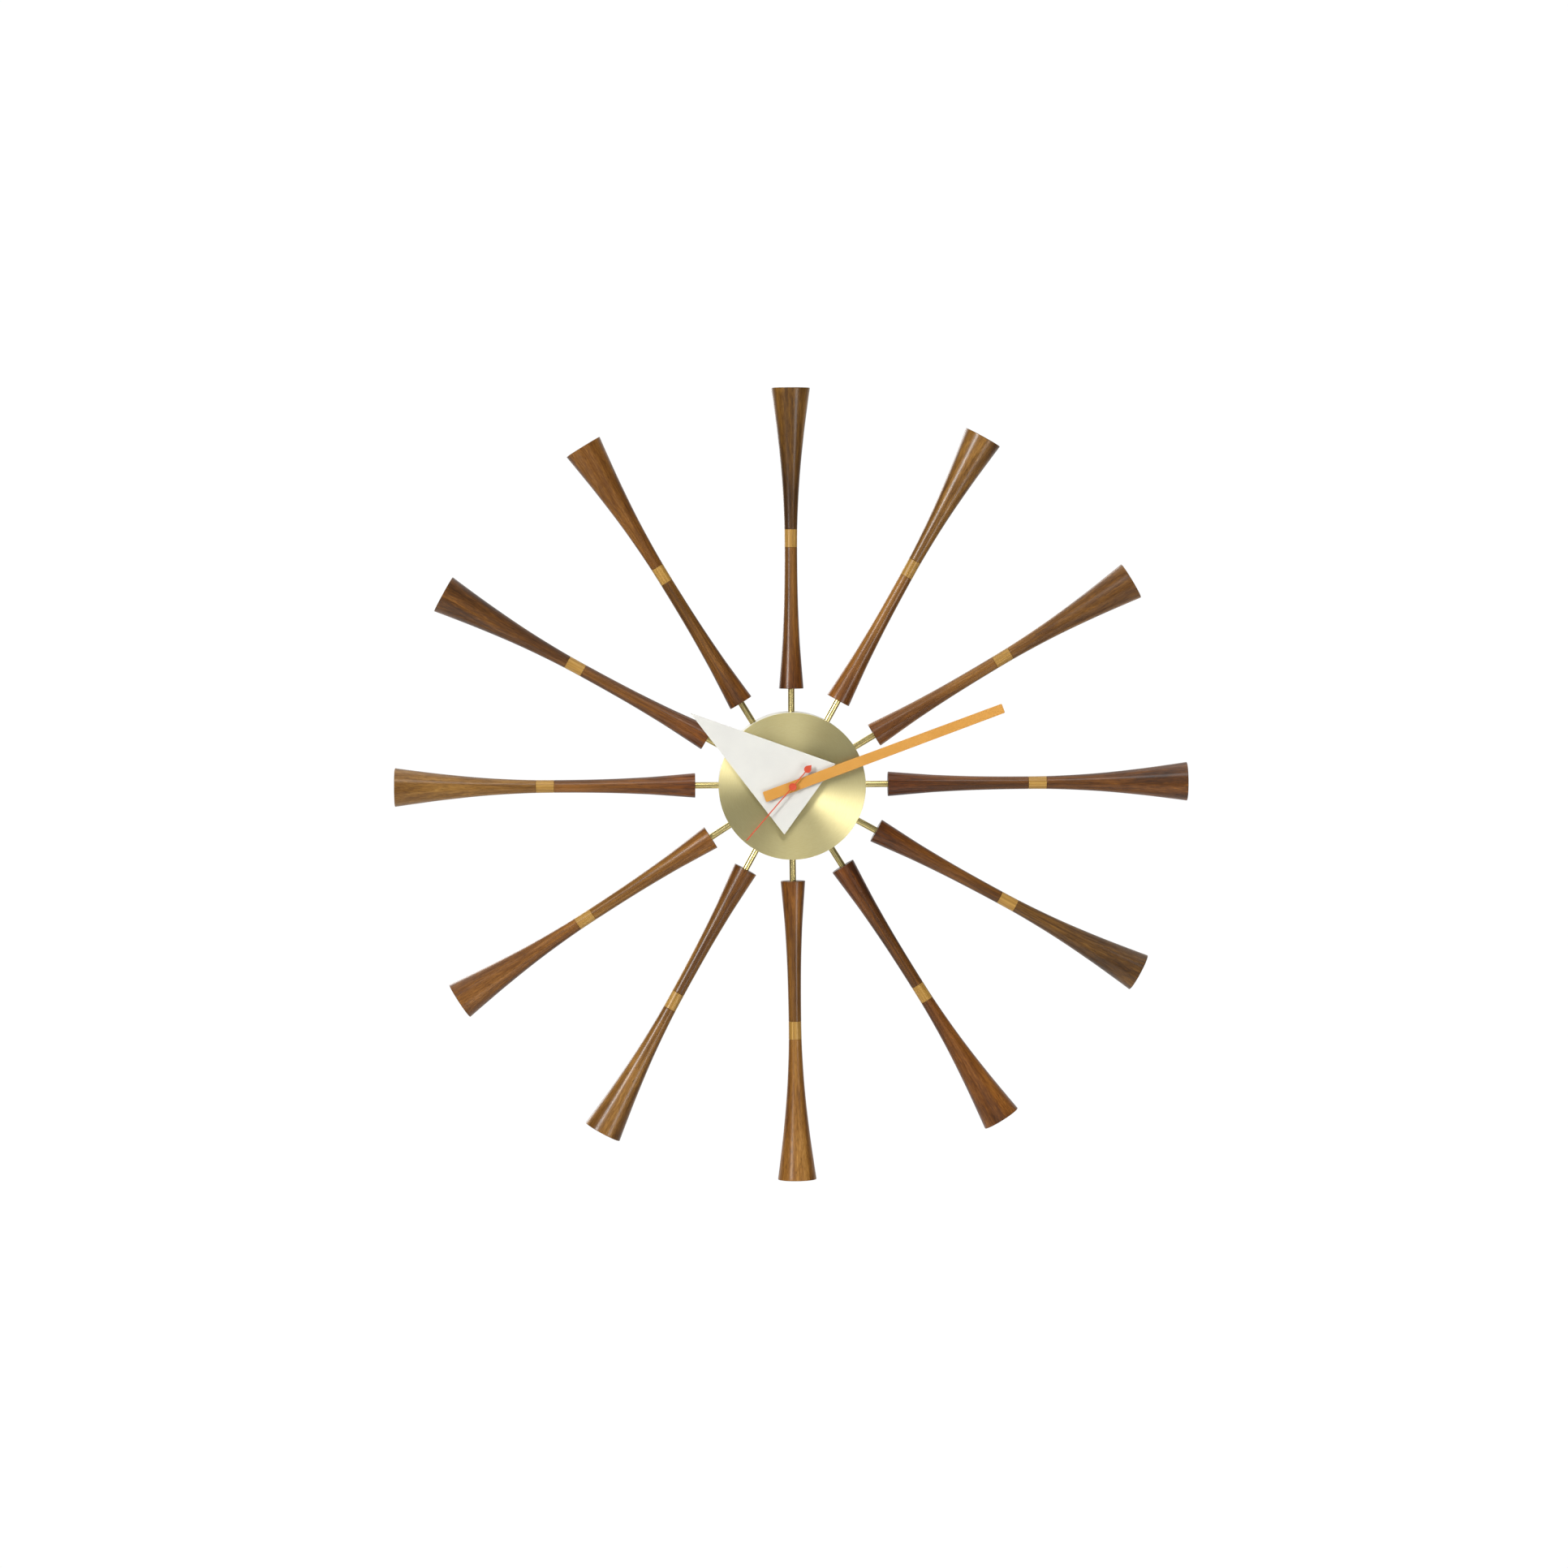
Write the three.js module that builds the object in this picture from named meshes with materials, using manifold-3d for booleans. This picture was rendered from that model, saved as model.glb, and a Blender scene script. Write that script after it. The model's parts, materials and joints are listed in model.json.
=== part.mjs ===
// A sunburst wall clock: twelve turned wooden spindles on brass rods round a hub that holds
// a quartz movement. Millimetres.
//
// Every piece is drawn in the dial's own frame and the whole clock is turned once at the end:
//   x to the viewer's right, y up, z out of the wall towards the viewer, the wall at z = 0.
// In the finished part x stays x, y becomes +Z (up) and z becomes -Y, so the wall is at Y = 0.

import * as THREE from 'three';
import { mergeVertices } from 'three/addons/utils/BufferGeometryUtils.js';
import Module from 'manifold-3d';

const wasm = await Module();
wasm.setup();

// ---------------------------------------------------------------- driving dimensions

const GAP = 0.3; // clearance left between two pieces that touch

// Spindles and rods
const TIP_RADIUS = 287.8; // clock centre to the outer ends of the spindles
const SPINDLE_LENGTH = 218.1;
const SPINDLE_START = TIP_RADIUS - SPINDLE_LENGTH;
// [distance from the inner end, radius] along one spindle: two cones that run into a waist
const SPINDLE_PROFILE = [
  [0, 8.6],
  [0.6, 8.95],
  [7, 8.4],
  [20, 7.35],
  [36, 6.2],
  [66, 5.0],
  [104, 4.6],
  [126, 5.0],
  [154, 6.6],
  [184, 9.6],
  [208, 12.7],
  [217.4, 14.05],
  [SPINDLE_LENGTH, 13.65],
];
// How far each spindle sits off its hour mark, degrees clockwise, one to twelve o'clock
const SPINDLE_LEANS = [0.1, 0.3, 0.8, -0.3, -0.9, 0.4, -0.2, -1.8, 0.9, 0, -0.4, 1.1];
const ROD_RADIUS = 2.35;
const ROD_BORE = ROD_RADIUS + GAP;
const ROD_HEIGHT = 24; // rods above the wall
const ROD_START = 46; // inner end of a rod, in the spoke ring
const ROD_IN_SPINDLE = 25;

// Hub
const HUB_RADIUS = 53;
const HUB_WALL = 1.5;
const HUB_DEPTH = 48;
const HUB_EDGE = 0.6; // rounding of the drum's front edge
const DIAL_RADIUS = 53.2;
const DIAL_THICKNESS = 1.2;
const DIAL_EDGE = 0.3;
const DIAL_BACK = HUB_DEPTH + GAP;
const DIAL_FRONT = DIAL_BACK + DIAL_THICKNESS;
const RING_RADIUS = HUB_RADIUS - HUB_WALL - GAP;
const RING_BORE = 45;
const RING_TOP = 30;
const PLATE_THICKNESS = 1.5;
const SCREW_CIRCLE = (RING_RADIUS + RING_BORE) / 2;
const SCREW_RADIUS = 1.5;
const SCREW_LENGTH = 10;
const SCREW_HEAD = [2.9, 0.1]; // radius, and how far it sits below the plate's outer face
const SCREW_SLOT = [8, 0.8, 0.7]; // length, width and depth of the driver's slot
const SCREW_ANGLES = [30, 150, 270];
const KEYHOLE_HEAD = [0, 24, 5.5]; // x, y, radius of the hole the wall screw's head enters
const KEYHOLE_SLOT_WIDTH = 5.2;
const KEYHOLE_SLOT_END = 34; // y of the slot's upper end centre, where the clock hangs
const KNOB_HOLE_RADIUS = 8;

// Quartz movement, a 56 mm square standard unit
const CASE_SIDE = 56;
const CASE_DEPTH = 16;
const CASE_WALL = 1.2;
const WASHER_RUBBER = 0.7;
const CASE_FRONT = HUB_DEPTH - HUB_WALL - WASHER_RUBBER - 2 * GAP;
const CASE_BACK = CASE_FRONT - CASE_DEPTH;
const CASE_INSIDE = CASE_SIDE / 2 - CASE_WALL;
const BAY_WALL_TOP = -10.1; // wall between the wheels and the battery
const BAY_WALL = 1;
const BUSH_RADIUS = 3.95;
const BUSH_BORE = 2.8;
const BUSH_TOP = CASE_FRONT + 7.6;
const PIVOT_RADIUS = 0.5;
const PIVOT_HOLE = PIVOT_RADIUS + GAP;
const PIVOT_BACK = CASE_BACK + 1.6;
const PIVOT_FRONT = CASE_FRONT - 0.7;
const GEAR_PLATE = [CASE_BACK + 1.8, CASE_BACK + 2.8]; // z range
const GEAR_PLATE_SIDES = [-15.5, -9.4, 21.5, 21]; // x, y, x, y
const POSTS = [
  [-13.5, -7.5],
  [18.5, -8],
  [19.5, 17],
];
const POST_RADIUS = 1.3;
const NUT_ACROSS_FLATS = 11;
const NUT_Z = [DIAL_FRONT + 1.2, BUSH_TOP - 0.3];
const WASHER_RADII = { rubber: 9, dial: 7.5 };
const DIAL_WASHER = 0.6;

// Wheel train, from the rotor to the hour hand. Heights are of the wheels' back faces.
const WHEEL_THICKNESS = 0.8;
const PINION_MARGIN = 0.3; // how far a pinion stands past the wheel it meets, on each side
const INTERMEDIATE_Z = CASE_BACK + 3.8;
const SECONDS_Z = CASE_BACK + 5.4;
const STATOR_Z = CASE_BACK + 6.4;
const THIRD_Z = CASE_BACK + 7.8;
const CENTRE_Z = CASE_BACK + 9.6;
const MOTION_Z = CASE_BACK + 11.2;
const HOUR_Z = CASE_BACK + 12.8;
const TEETH = {
  rotorPinion: 6,
  intermediateWheel: 36,
  intermediatePinion: 8,
  secondsWheel: 40,
  secondsPinion: 6,
  thirdWheel: 45,
  thirdPinion: 6,
  centreWheel: 48,
  cannonPinion: 12,
  motionWheel: 36,
  motionPinion: 10,
  hourWheel: 40,
};
const THIRD_SPACING = 10.455; // from the hands' axis
const INTERMEDIATE_SPACING = 10.56;
const ROTOR_SPACING = 7.56; // from the intermediate arbor
const MOTION_SPACING = 11.5;
const THIRD_ANGLE = 140; // degrees from x, anticlockwise
const INTERMEDIATE_ANGLE = 76;
const ROTOR_ANGLE = 110;
const MOTION_ANGLE = 12;
const HOUR_PIPE = [1.9, 2.5]; // inner and outer radius
const MINUTE_PIPE = [0.85, 1.55];
const PINION_HUB = 1; // radius of the plain hub between a wheel and the pinion on it
const MOTION_HUB = 1.5;
const MAGNET = { radius: 2.6, past: 0.7 }; // how far it stands past the stator, on each side
const STATOR_REACH = 14; // half the stator's length
const STATOR_HALF_WIDTH = 4;
const ARM = { width: 3, end: 8.2 }; // the arms that hold the coil, and how far up they reach
const COIL = { flange: 2.4, winding: 2.1, half: 10.6, rim: 0.8 };
const BOARD_Y = [-9.2, 16];
const BOARD_X = -18.3; // its edge towards the wheels
const CRYSTAL = { x: -22, y: [4, 10], radius: 1.5 };
const STEM_RADIUS = 1.2;
const KNOB_RADIUS = 5.5;
const KNOB_Z = [7, 12];
const KNOB_RIBS = 18;
const KNOB_RIB = { height: 0.5, depth: 0.4, rootShare: 0.6, tipShare: 0.4 };

// Battery, size AA
const BATTERY_RADIUS = 7.1;
const BATTERY_LENGTH = 49;
const BATTERY_NUB = [2.7, 1.1]; // radius and height
const BATTERY_X = -24.2; // its flat end
const BATTERY_Y = -18.95;
const BATTERY_Z = CASE_BACK + 7.2;
const WINDOW = [-29, -29, 29, -8.9]; // battery window in the back plate: x, y, x, y
const BATTERY_EDGE = 0.5;
const CONTACT = [0.4, 9, 10]; // thickness, width and height of a contact plate
const SPRING_RADII = [4, 2.8]; // of the negative contact's coil, at the plate and at the battery

// Hands: heights above the wall, and where they point at rest, degrees clockwise from twelve
const HOUR_HAND_Z = [54.2, 55.2];
const MINUTE_HAND_Z = [56.6, 57.6];
const SECOND_HAND_Z = [59.2, 59.8];
const CAP_Z = [60.1, 61.1];
const HOUR_PIPE_TOP = 55.5;
const MINUTE_PIPE_TOP = 58;
const HOUR_ANGLE = 307.1;
const MINUTE_ANGLE = 71.2;
const SECOND_ANGLE = 221.9;
// The hour hand is a triangle, drawn with its tip straight up
const HOUR_HAND = [
  [0, 91.2],
  [-31.5, -15.5],
  [31.5, -15.5],
];
const MINUTE_TIP = [162.3, 7]; // distance from the axis and width there
const MINUTE_TAIL = [21.7, 7.75];
const MINUTE_CORNER = 0.7;
const COLLETS = { hour: 4.5, minute: 3.2, second: 1.3 }; // radii
const COLLET_AIR = 0.4; // between a collet and the pipe below it
const SECOND_BOSS = 1.9;
const CAP_RADIUS = 2.8;
const CAP_EDGE = 0.3;
const SECOND_POINTER = [50.9, 0.7]; // length and width
const DROP = [16.6, 2.6, 20.8]; // distance and radius of the counterweight, and its point

// ---------------------------------------------------------------- finishes

const finish = (color, roughness, metalness) => ({ color, roughness, metalness });
const WALNUT = finish(0x7a4a2b, 0.45, 0);
const BRASS = finish(0xc8b070, 0.35, 1);
const WHITE_LACQUER = finish(0xe6e2d6, 0.4, 0);
const HAND_WHITE = finish(0xf0efe7, 0.45, 0);
const HAND_OCHRE = finish(0xe5aa4a, 0.45, 0);
const HAND_RED = finish(0xd75a37, 0.45, 0);
const BLACK_PLASTIC = finish(0x1b1b1d, 0.55, 0);
const WHEEL_PLASTIC = finish(0xe9e6da, 0.5, 0);
const STEEL = finish(0xb9bcc0, 0.3, 1);
const ALUMINIUM = finish(0xc9ccd0, 0.4, 1);
const FERRITE = finish(0x3a3a3e, 0.45, 1);
const COPPER = finish(0xb5653a, 0.35, 1);
const BOARD = finish(0x1f5a3a, 0.55, 0);
const RUBBER = finish(0x222222, 0.9, 0);
const BATTERY_JACKET = finish(0x35507a, 0.4, 0);

// ---------------------------------------------------------------- helpers

const radians = THREE.MathUtils.degToRad;

// A point at a distance and an anticlockwise angle from x, seen from another point.
function polar(distance, degrees, from = [0, 0]) {
  const angle = radians(degrees);
  return [from[0] + distance * Math.cos(angle), from[1] + distance * Math.sin(angle)];
}

// A closed geometry as a manifold solid, with its faces turned outwards.
function toSolid(geometry) {
  const bare = geometry.clone();
  bare.deleteAttribute('normal');
  bare.deleteAttribute('uv');
  const merged = mergeVertices(bare, 1e-4);
  const triVerts = new Uint32Array(merged.index.array);
  const vertProperties = new Float32Array(merged.attributes.position.array);
  return new wasm.Manifold(new wasm.Mesh({ numProp: 3, vertProperties, triVerts }));
}

function toGeometry(solid) {
  const { vertProperties, triVerts } = solid.getMesh();
  const geometry = new THREE.BufferGeometry();
  geometry.setAttribute('position', new THREE.BufferAttribute(vertProperties, 3));
  geometry.setIndex(new THREE.BufferAttribute(triVerts, 1));
  geometry.computeVertexNormals();
  return geometry;
}

const join = (first, ...others) =>
  toGeometry(others.reduce((solid, other) => solid.add(toSolid(other)), toSolid(first)));

const cut = (body, ...tools) =>
  toGeometry(tools.reduce((solid, tool) => solid.subtract(toSolid(tool)), toSolid(body)));

// A turned piece on the z axis from [radius, z] points that go up its outside.
function turned(points, segments) {
  const profile = points.map(([radius, z]) => new THREE.Vector2(radius, z));
  return new THREE.LatheGeometry(profile, segments).rotateX(Math.PI / 2);
}

const disc = (radius, z0, z1, segments = 16) =>
  turned([[0, z0], [radius, z0], [radius, z1], [0, z1]], segments);

const tube = (inner, outer, z0, z1, segments = 24) =>
  turned([[inner, z0], [outer, z0], [outer, z1], [inner, z1], [inner, z0]], segments);

function block(x0, y0, z0, x1, y1, z1) {
  const box = new THREE.BoxGeometry(x1 - x0, y1 - y0, z1 - z0);
  return box.translate((x0 + x1) / 2, (y0 + y1) / 2, (z0 + z1) / 2);
}

// A flat piece between two heights from its outline.
function sheet(outline, z0, z1, curveSegments = 6) {
  const shape = outline instanceof THREE.Shape ? outline : new THREE.Shape(outline);
  const settings = { depth: z1 - z0, bevelEnabled: false, curveSegments };
  return new THREE.ExtrudeGeometry(shape, settings).translate(0, 0, z0);
}

const sheetFrom = (points, z0, z1) =>
  sheet(points.map(([x, y]) => new THREE.Vector2(x, y)), z0, z1);

// ---------------------------------------------------------------- toothed wheels

// Slim teeth with room to spare, as shares of the module (heights) and of a tooth's pitch.
const WHEEL_TOOTH = { height: 0.85, depth: 1.15, rootShare: 0.58, tipShare: 0.13 };
const PINION_TOOTH = { height: 0.55, depth: 1.15, rootShare: 0.4, tipShare: 0.2 };

// The outline of a wheel or pinion whose first tooth points at an angle from x, in radians.
function toothedSheet(teeth, module, tooth, phase, z0, z1) {
  const pitchRadius = (teeth * module) / 2;
  const root = pitchRadius - tooth.depth * module;
  const tip = pitchRadius + tooth.height * module;
  const pitch = (2 * Math.PI) / teeth;
  const outline = [];
  for (let i = 0; i < teeth; i++) {
    const middle = phase + i * pitch;
    const rootHalf = (tooth.rootShare * pitch) / 2;
    const tipHalf = (tooth.tipShare * pitch) / 2;
    for (const [radius, angle] of [
      [root, middle - rootHalf],
      [tip, middle - tipHalf],
      [tip, middle + tipHalf],
      [root, middle + rootHalf],
    ]) {
      outline.push(new THREE.Vector2(radius * Math.cos(angle), radius * Math.sin(angle)));
    }
  }
  return sheet(outline, z0, z1);
}

// The phase that puts a gap of the driven wheel at the driving wheel's tooth.
// degrees is the direction from the driving wheel to the driven one.
function meshPhase(driverTeeth, driverPhase, drivenTeeth, degrees) {
  const line = radians(degrees);
  return line + Math.PI - (driverTeeth / drivenTeeth) * (driverPhase - line) - Math.PI / drivenTeeth;
}

// The module of a pair from its spacing and tooth counts.
const moduleOf = (spacing, teethA, teethB) => (2 * spacing) / (teethA + teethB);

const wheel = (teeth, module, phase, z) =>
  toothedSheet(teeth, module, WHEEL_TOOTH, phase, z, z + WHEEL_THICKNESS);

const pinion = (teeth, module, phase, z) =>
  toothedSheet(
    teeth, module, PINION_TOOTH, phase, z - PINION_MARGIN, z + WHEEL_THICKNESS + PINION_MARGIN,
  );

// ---------------------------------------------------------------- spindles and rods

// One spindle along y, drilled from its inner end for the rod.
function spindleGeometry() {
  const outside = SPINDLE_PROFILE.map(([along, radius]) => [radius, SPINDLE_START + along]);
  const boreEnd = SPINDLE_START + ROD_IN_SPINDLE + GAP;
  const bore = [[0, boreEnd], [ROD_BORE, boreEnd], [ROD_BORE, SPINDLE_START]];
  const points = [...bore, ...outside, [0, TIP_RADIUS]];
  return new THREE.LatheGeometry(points.map(([radius, y]) => new THREE.Vector2(radius, y)), 12);
}

// A plain round bar along y.
function radialBar(radius, from, to, segments) {
  const bar = new THREE.CylinderGeometry(radius, radius, to - from, segments);
  return bar.translate(0, (from + to) / 2, 0);
}

// Turns something drawn along y to an angle clockwise from twelve o'clock, at rod height.
const toHour = (geometry, degrees) =>
  geometry.rotateZ(-radians(degrees)).translate(0, 0, ROD_HEIGHT);

const spindleAngles = SPINDLE_LEANS.map((lean, i) => 30 * (i + 1) + lean);

const rodHoles = () =>
  spindleAngles.map((angle) => toHour(radialBar(ROD_BORE, RING_BORE - 5, HUB_RADIUS + 5, 10), angle));

// ---------------------------------------------------------------- hub

function hubHousing() {
  const inside = HUB_RADIUS - HUB_WALL;
  const cup = turned(
    [
      [inside, 0],
      [HUB_RADIUS, 0],
      [HUB_RADIUS, HUB_DEPTH - HUB_EDGE],
      [HUB_RADIUS - HUB_EDGE, HUB_DEPTH],
      [BUSH_RADIUS + GAP, HUB_DEPTH],
      [BUSH_RADIUS + GAP, HUB_DEPTH - HUB_WALL],
      [inside, HUB_DEPTH - HUB_WALL],
      [inside, 0],
    ],
    48,
  );
  return cut(cup, ...rodHoles());
}

function brassDial() {
  return turned(
    [
      [BUSH_RADIUS + GAP, DIAL_BACK],
      [DIAL_RADIUS, DIAL_BACK],
      [DIAL_RADIUS, DIAL_FRONT - DIAL_EDGE],
      [DIAL_RADIUS - DIAL_EDGE, DIAL_FRONT],
      [BUSH_RADIUS + GAP, DIAL_FRONT],
      [BUSH_RADIUS + GAP, DIAL_BACK],
    ],
    48,
  );
}

const screwPlaces = SCREW_ANGLES.map((angle) => polar(SCREW_CIRCLE, angle));

function spokeRing() {
  const ring = tube(RING_BORE, RING_RADIUS, PLATE_THICKNESS + GAP, RING_TOP, 36);
  const threads = screwPlaces.map(([x, y]) =>
    disc(SCREW_RADIUS + GAP, 0, SCREW_LENGTH + 1, 10).translate(x, y, 0),
  );
  return cut(ring, ...rodHoles(), ...threads);
}

function keyhole() {
  const [x, y, radius] = KEYHOLE_HEAD;
  const half = KEYHOLE_SLOT_WIDTH / 2;
  const head = disc(radius, -1, PLATE_THICKNESS + 1, 20).translate(x, y, 0);
  const end = disc(half, -1, PLATE_THICKNESS + 1, 16).translate(x, KEYHOLE_SLOT_END, 0);
  const slot = block(x - half, y, -1, x + half, KEYHOLE_SLOT_END, PLATE_THICKNESS + 1);
  return join(head, end, slot);
}

// The screw's countersunk head and shank: the same profile, made wider, cuts its seat.
function screwProfile(wider) {
  const [headRadius, below] = SCREW_HEAD;
  const head = headRadius + wider;
  const shank = SCREW_RADIUS + wider;
  const end = wider ? PLATE_THICKNESS + 1 : SCREW_LENGTH;
  const face = wider ? -1 : below;
  return [[0, face], [head, face], [head, below], [shank, PLATE_THICKNESS], [shank, end], [0, end]];
}

function backPlate() {
  const [x0, y0, x1, y1] = WINDOW;
  const [knobX, knobY] = motionAt;
  return cut(
    disc(RING_RADIUS, 0, PLATE_THICKNESS, 48),
    keyhole(),
    block(x0, y0, -1, x1, y1, PLATE_THICKNESS + 1),
    disc(KNOB_HOLE_RADIUS, -1, PLATE_THICKNESS + 1, 24).translate(knobX, knobY, 0),
    ...screwPlaces.map(([x, y]) => turned(screwProfile(GAP), 16).translate(x, y, 0)),
  );
}

function coverScrew() {
  const [length, width, depth] = SCREW_SLOT;
  const slot = block(-length / 2, -width / 2, -1, length / 2, width / 2, depth);
  return cut(turned(screwProfile(0), 16), slot);
}

// ---------------------------------------------------------------- movement

const thirdAt = polar(THIRD_SPACING, THIRD_ANGLE);
const intermediateAt = polar(INTERMEDIATE_SPACING, INTERMEDIATE_ANGLE);
const rotorAt = polar(ROTOR_SPACING, ROTOR_ANGLE, intermediateAt);
const motionAt = polar(MOTION_SPACING, MOTION_ANGLE);

function movementCase() {
  const side = CASE_SIDE / 2;
  const inner = CASE_INSIDE;
  const floor = CASE_FRONT - CASE_WALL;
  const hollowed = cut(
    block(-side, -side, CASE_BACK, side, side, CASE_FRONT),
    block(-inner, BAY_WALL_TOP, CASE_BACK - 1, inner, inner, floor),
    block(-inner, -inner, CASE_BACK - 1, inner, BAY_WALL_TOP - BAY_WALL, floor),
  );
  const posts = POSTS.map(([x, y]) =>
    disc(POST_RADIUS, GEAR_PLATE[1] + GAP, floor + 0.5, 10).translate(x, y, 0),
  );
  const withBush = join(hollowed, disc(BUSH_RADIUS, floor, BUSH_TOP, 24), ...posts);
  const pivots = [thirdAt, intermediateAt, rotorAt, motionAt].map(([x, y]) =>
    disc(PIVOT_HOLE, floor - 1, PIVOT_FRONT + 0.2, 8).translate(x, y, 0),
  );
  return cut(withBush, disc(BUSH_BORE, floor - 1, BUSH_TOP + 1, 24), ...pivots);
}

function movementCover() {
  const half = CASE_INSIDE - GAP;
  const [knobX, knobY] = motionAt;
  return cut(
    block(-half, BAY_WALL_TOP + GAP, CASE_BACK, half, half, CASE_BACK + CASE_WALL),
    disc(STEM_RADIUS + GAP, 0, CASE_FRONT, 12).translate(knobX, knobY, 0),
  );
}

function gearPlate() {
  const [z0, z1] = GEAR_PLATE;
  const holes = [[0, 0], thirdAt, intermediateAt, rotorAt].map(([x, y]) =>
    disc(PIVOT_HOLE, z0 - 1, z1 + 1, 8).translate(x, y, 0),
  );
  const [knobX, knobY] = motionAt;
  const stemHole = disc(STEM_RADIUS + GAP, z0 - 1, z1 + 1, 12).translate(knobX, knobY, 0);
  const [x0, y0, x1, y1] = GEAR_PLATE_SIDES;
  return cut(block(x0, y0, z0, x1, y1, z1), ...holes, stemHole);
}

function hexNut() {
  const [z0, z1] = NUT_Z;
  const hexagon = disc(NUT_ACROSS_FLATS / Math.sqrt(3), z0, z1, 6);
  return cut(hexagon, disc(BUSH_RADIUS + GAP, z0 - 1, z1 + 1, 24));
}

// The train, wheel by wheel. Each phase follows from the wheel before it.
const thirdModule = moduleOf(THIRD_SPACING, TEETH.secondsPinion, TEETH.thirdWheel);
const centreModule = moduleOf(THIRD_SPACING, TEETH.centreWheel, TEETH.thirdPinion);
const secondsModule = moduleOf(INTERMEDIATE_SPACING, TEETH.secondsWheel, TEETH.intermediatePinion);
const rotorModule = moduleOf(ROTOR_SPACING, TEETH.intermediateWheel, TEETH.rotorPinion);
const cannonModule = moduleOf(MOTION_SPACING, TEETH.cannonPinion, TEETH.motionWheel);
const hourModule = moduleOf(MOTION_SPACING, TEETH.motionPinion, TEETH.hourWheel);

const phase = { centreWheel: 0, secondsPinion: 0, secondsWheel: 0, cannonPinion: 0 };
phase.thirdPinion = meshPhase(TEETH.centreWheel, phase.centreWheel, TEETH.thirdPinion, THIRD_ANGLE);
phase.thirdWheel = meshPhase(TEETH.secondsPinion, phase.secondsPinion, TEETH.thirdWheel, THIRD_ANGLE);
phase.intermediatePinion = meshPhase(
  TEETH.secondsWheel, phase.secondsWheel, TEETH.intermediatePinion, INTERMEDIATE_ANGLE,
);
phase.intermediateWheel = 0;
phase.rotorPinion = meshPhase(
  TEETH.intermediateWheel, phase.intermediateWheel, TEETH.rotorPinion, ROTOR_ANGLE,
);
phase.motionWheel = meshPhase(
  TEETH.cannonPinion, phase.cannonPinion, TEETH.motionWheel, MOTION_ANGLE,
);
phase.motionPinion = 0;
phase.hourWheel = meshPhase(
  TEETH.motionPinion, phase.motionPinion, TEETH.hourWheel, MOTION_ANGLE + 180,
);

const rotorPinion = () =>
  join(
    disc(PIVOT_RADIUS, PIVOT_BACK, PIVOT_FRONT, 10),
    pinion(TEETH.rotorPinion, rotorModule, phase.rotorPinion, INTERMEDIATE_Z),
  );

function rotorMagnet() {
  const { radius, past } = MAGNET;
  return tube(PIVOT_RADIUS + GAP, radius, STATOR_Z - past, STATOR_Z + WHEEL_THICKNESS + past, 16);
}

const intermediateWheel = () =>
  join(
    disc(PIVOT_RADIUS, PIVOT_BACK, PIVOT_FRONT, 10),
    disc(PINION_HUB, INTERMEDIATE_Z, SECONDS_Z, 10),
    wheel(TEETH.intermediateWheel, rotorModule, phase.intermediateWheel, INTERMEDIATE_Z),
    pinion(TEETH.intermediatePinion, secondsModule, phase.intermediatePinion, SECONDS_Z),
  );

const secondsWheel = () =>
  join(
    disc(PIVOT_RADIUS, PIVOT_BACK, SECOND_HAND_Z[1], 10),
    wheel(TEETH.secondsWheel, secondsModule, phase.secondsWheel, SECONDS_Z),
    pinion(TEETH.secondsPinion, thirdModule, phase.secondsPinion, THIRD_Z),
  );

const thirdWheel = () =>
  join(
    disc(PIVOT_RADIUS, PIVOT_BACK, PIVOT_FRONT, 10),
    wheel(TEETH.thirdWheel, thirdModule, phase.thirdWheel, THIRD_Z),
    pinion(TEETH.thirdPinion, centreModule, phase.thirdPinion, CENTRE_Z),
  );

const centreWheel = () =>
  cut(
    wheel(TEETH.centreWheel, centreModule, phase.centreWheel, CENTRE_Z),
    disc(MINUTE_PIPE[1] + GAP, CENTRE_Z - 1, CENTRE_Z + WHEEL_THICKNESS + 1, 12),
  );

function minutePipe() {
  const bottom = CENTRE_Z - PINION_MARGIN;
  return cut(
    join(
      disc(MINUTE_PIPE[1], bottom, MINUTE_PIPE_TOP, 12),
      pinion(TEETH.cannonPinion, cannonModule, phase.cannonPinion, MOTION_Z),
    ),
    disc(MINUTE_PIPE[0], bottom - 1, MINUTE_PIPE_TOP + 1, 12),
  );
}

const motionWheel = () =>
  join(
    disc(PIVOT_RADIUS, MOTION_Z, PIVOT_FRONT, 10),
    wheel(TEETH.motionWheel, cannonModule, phase.motionWheel, MOTION_Z),
    pinion(TEETH.motionPinion, hourModule, phase.motionPinion, HOUR_Z),
    disc(MOTION_HUB, MOTION_Z, HOUR_Z, 10),
  );

function hourWheel() {
  return cut(
    join(
      disc(HOUR_PIPE[1], HOUR_Z, HOUR_PIPE_TOP, 16),
      wheel(TEETH.hourWheel, hourModule, phase.hourWheel, HOUR_Z),
    ),
    disc(HOUR_PIPE[0], HOUR_Z - 1, HOUR_PIPE_TOP + 1, 16),
  );
}

// The setting knob: a ribbed head that a finger reaches through the back plate.
function settingKnob() {
  const module = (2 * KNOB_RADIUS) / (KNOB_RIBS + 2 * KNOB_RIB.height);
  const ribs = toothedSheet(KNOB_RIBS, module, KNOB_RIB, 0, ...KNOB_Z);
  return join(ribs, disc(STEM_RADIUS, KNOB_Z[1] - 1, MOTION_Z - GAP, 10));
}

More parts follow.
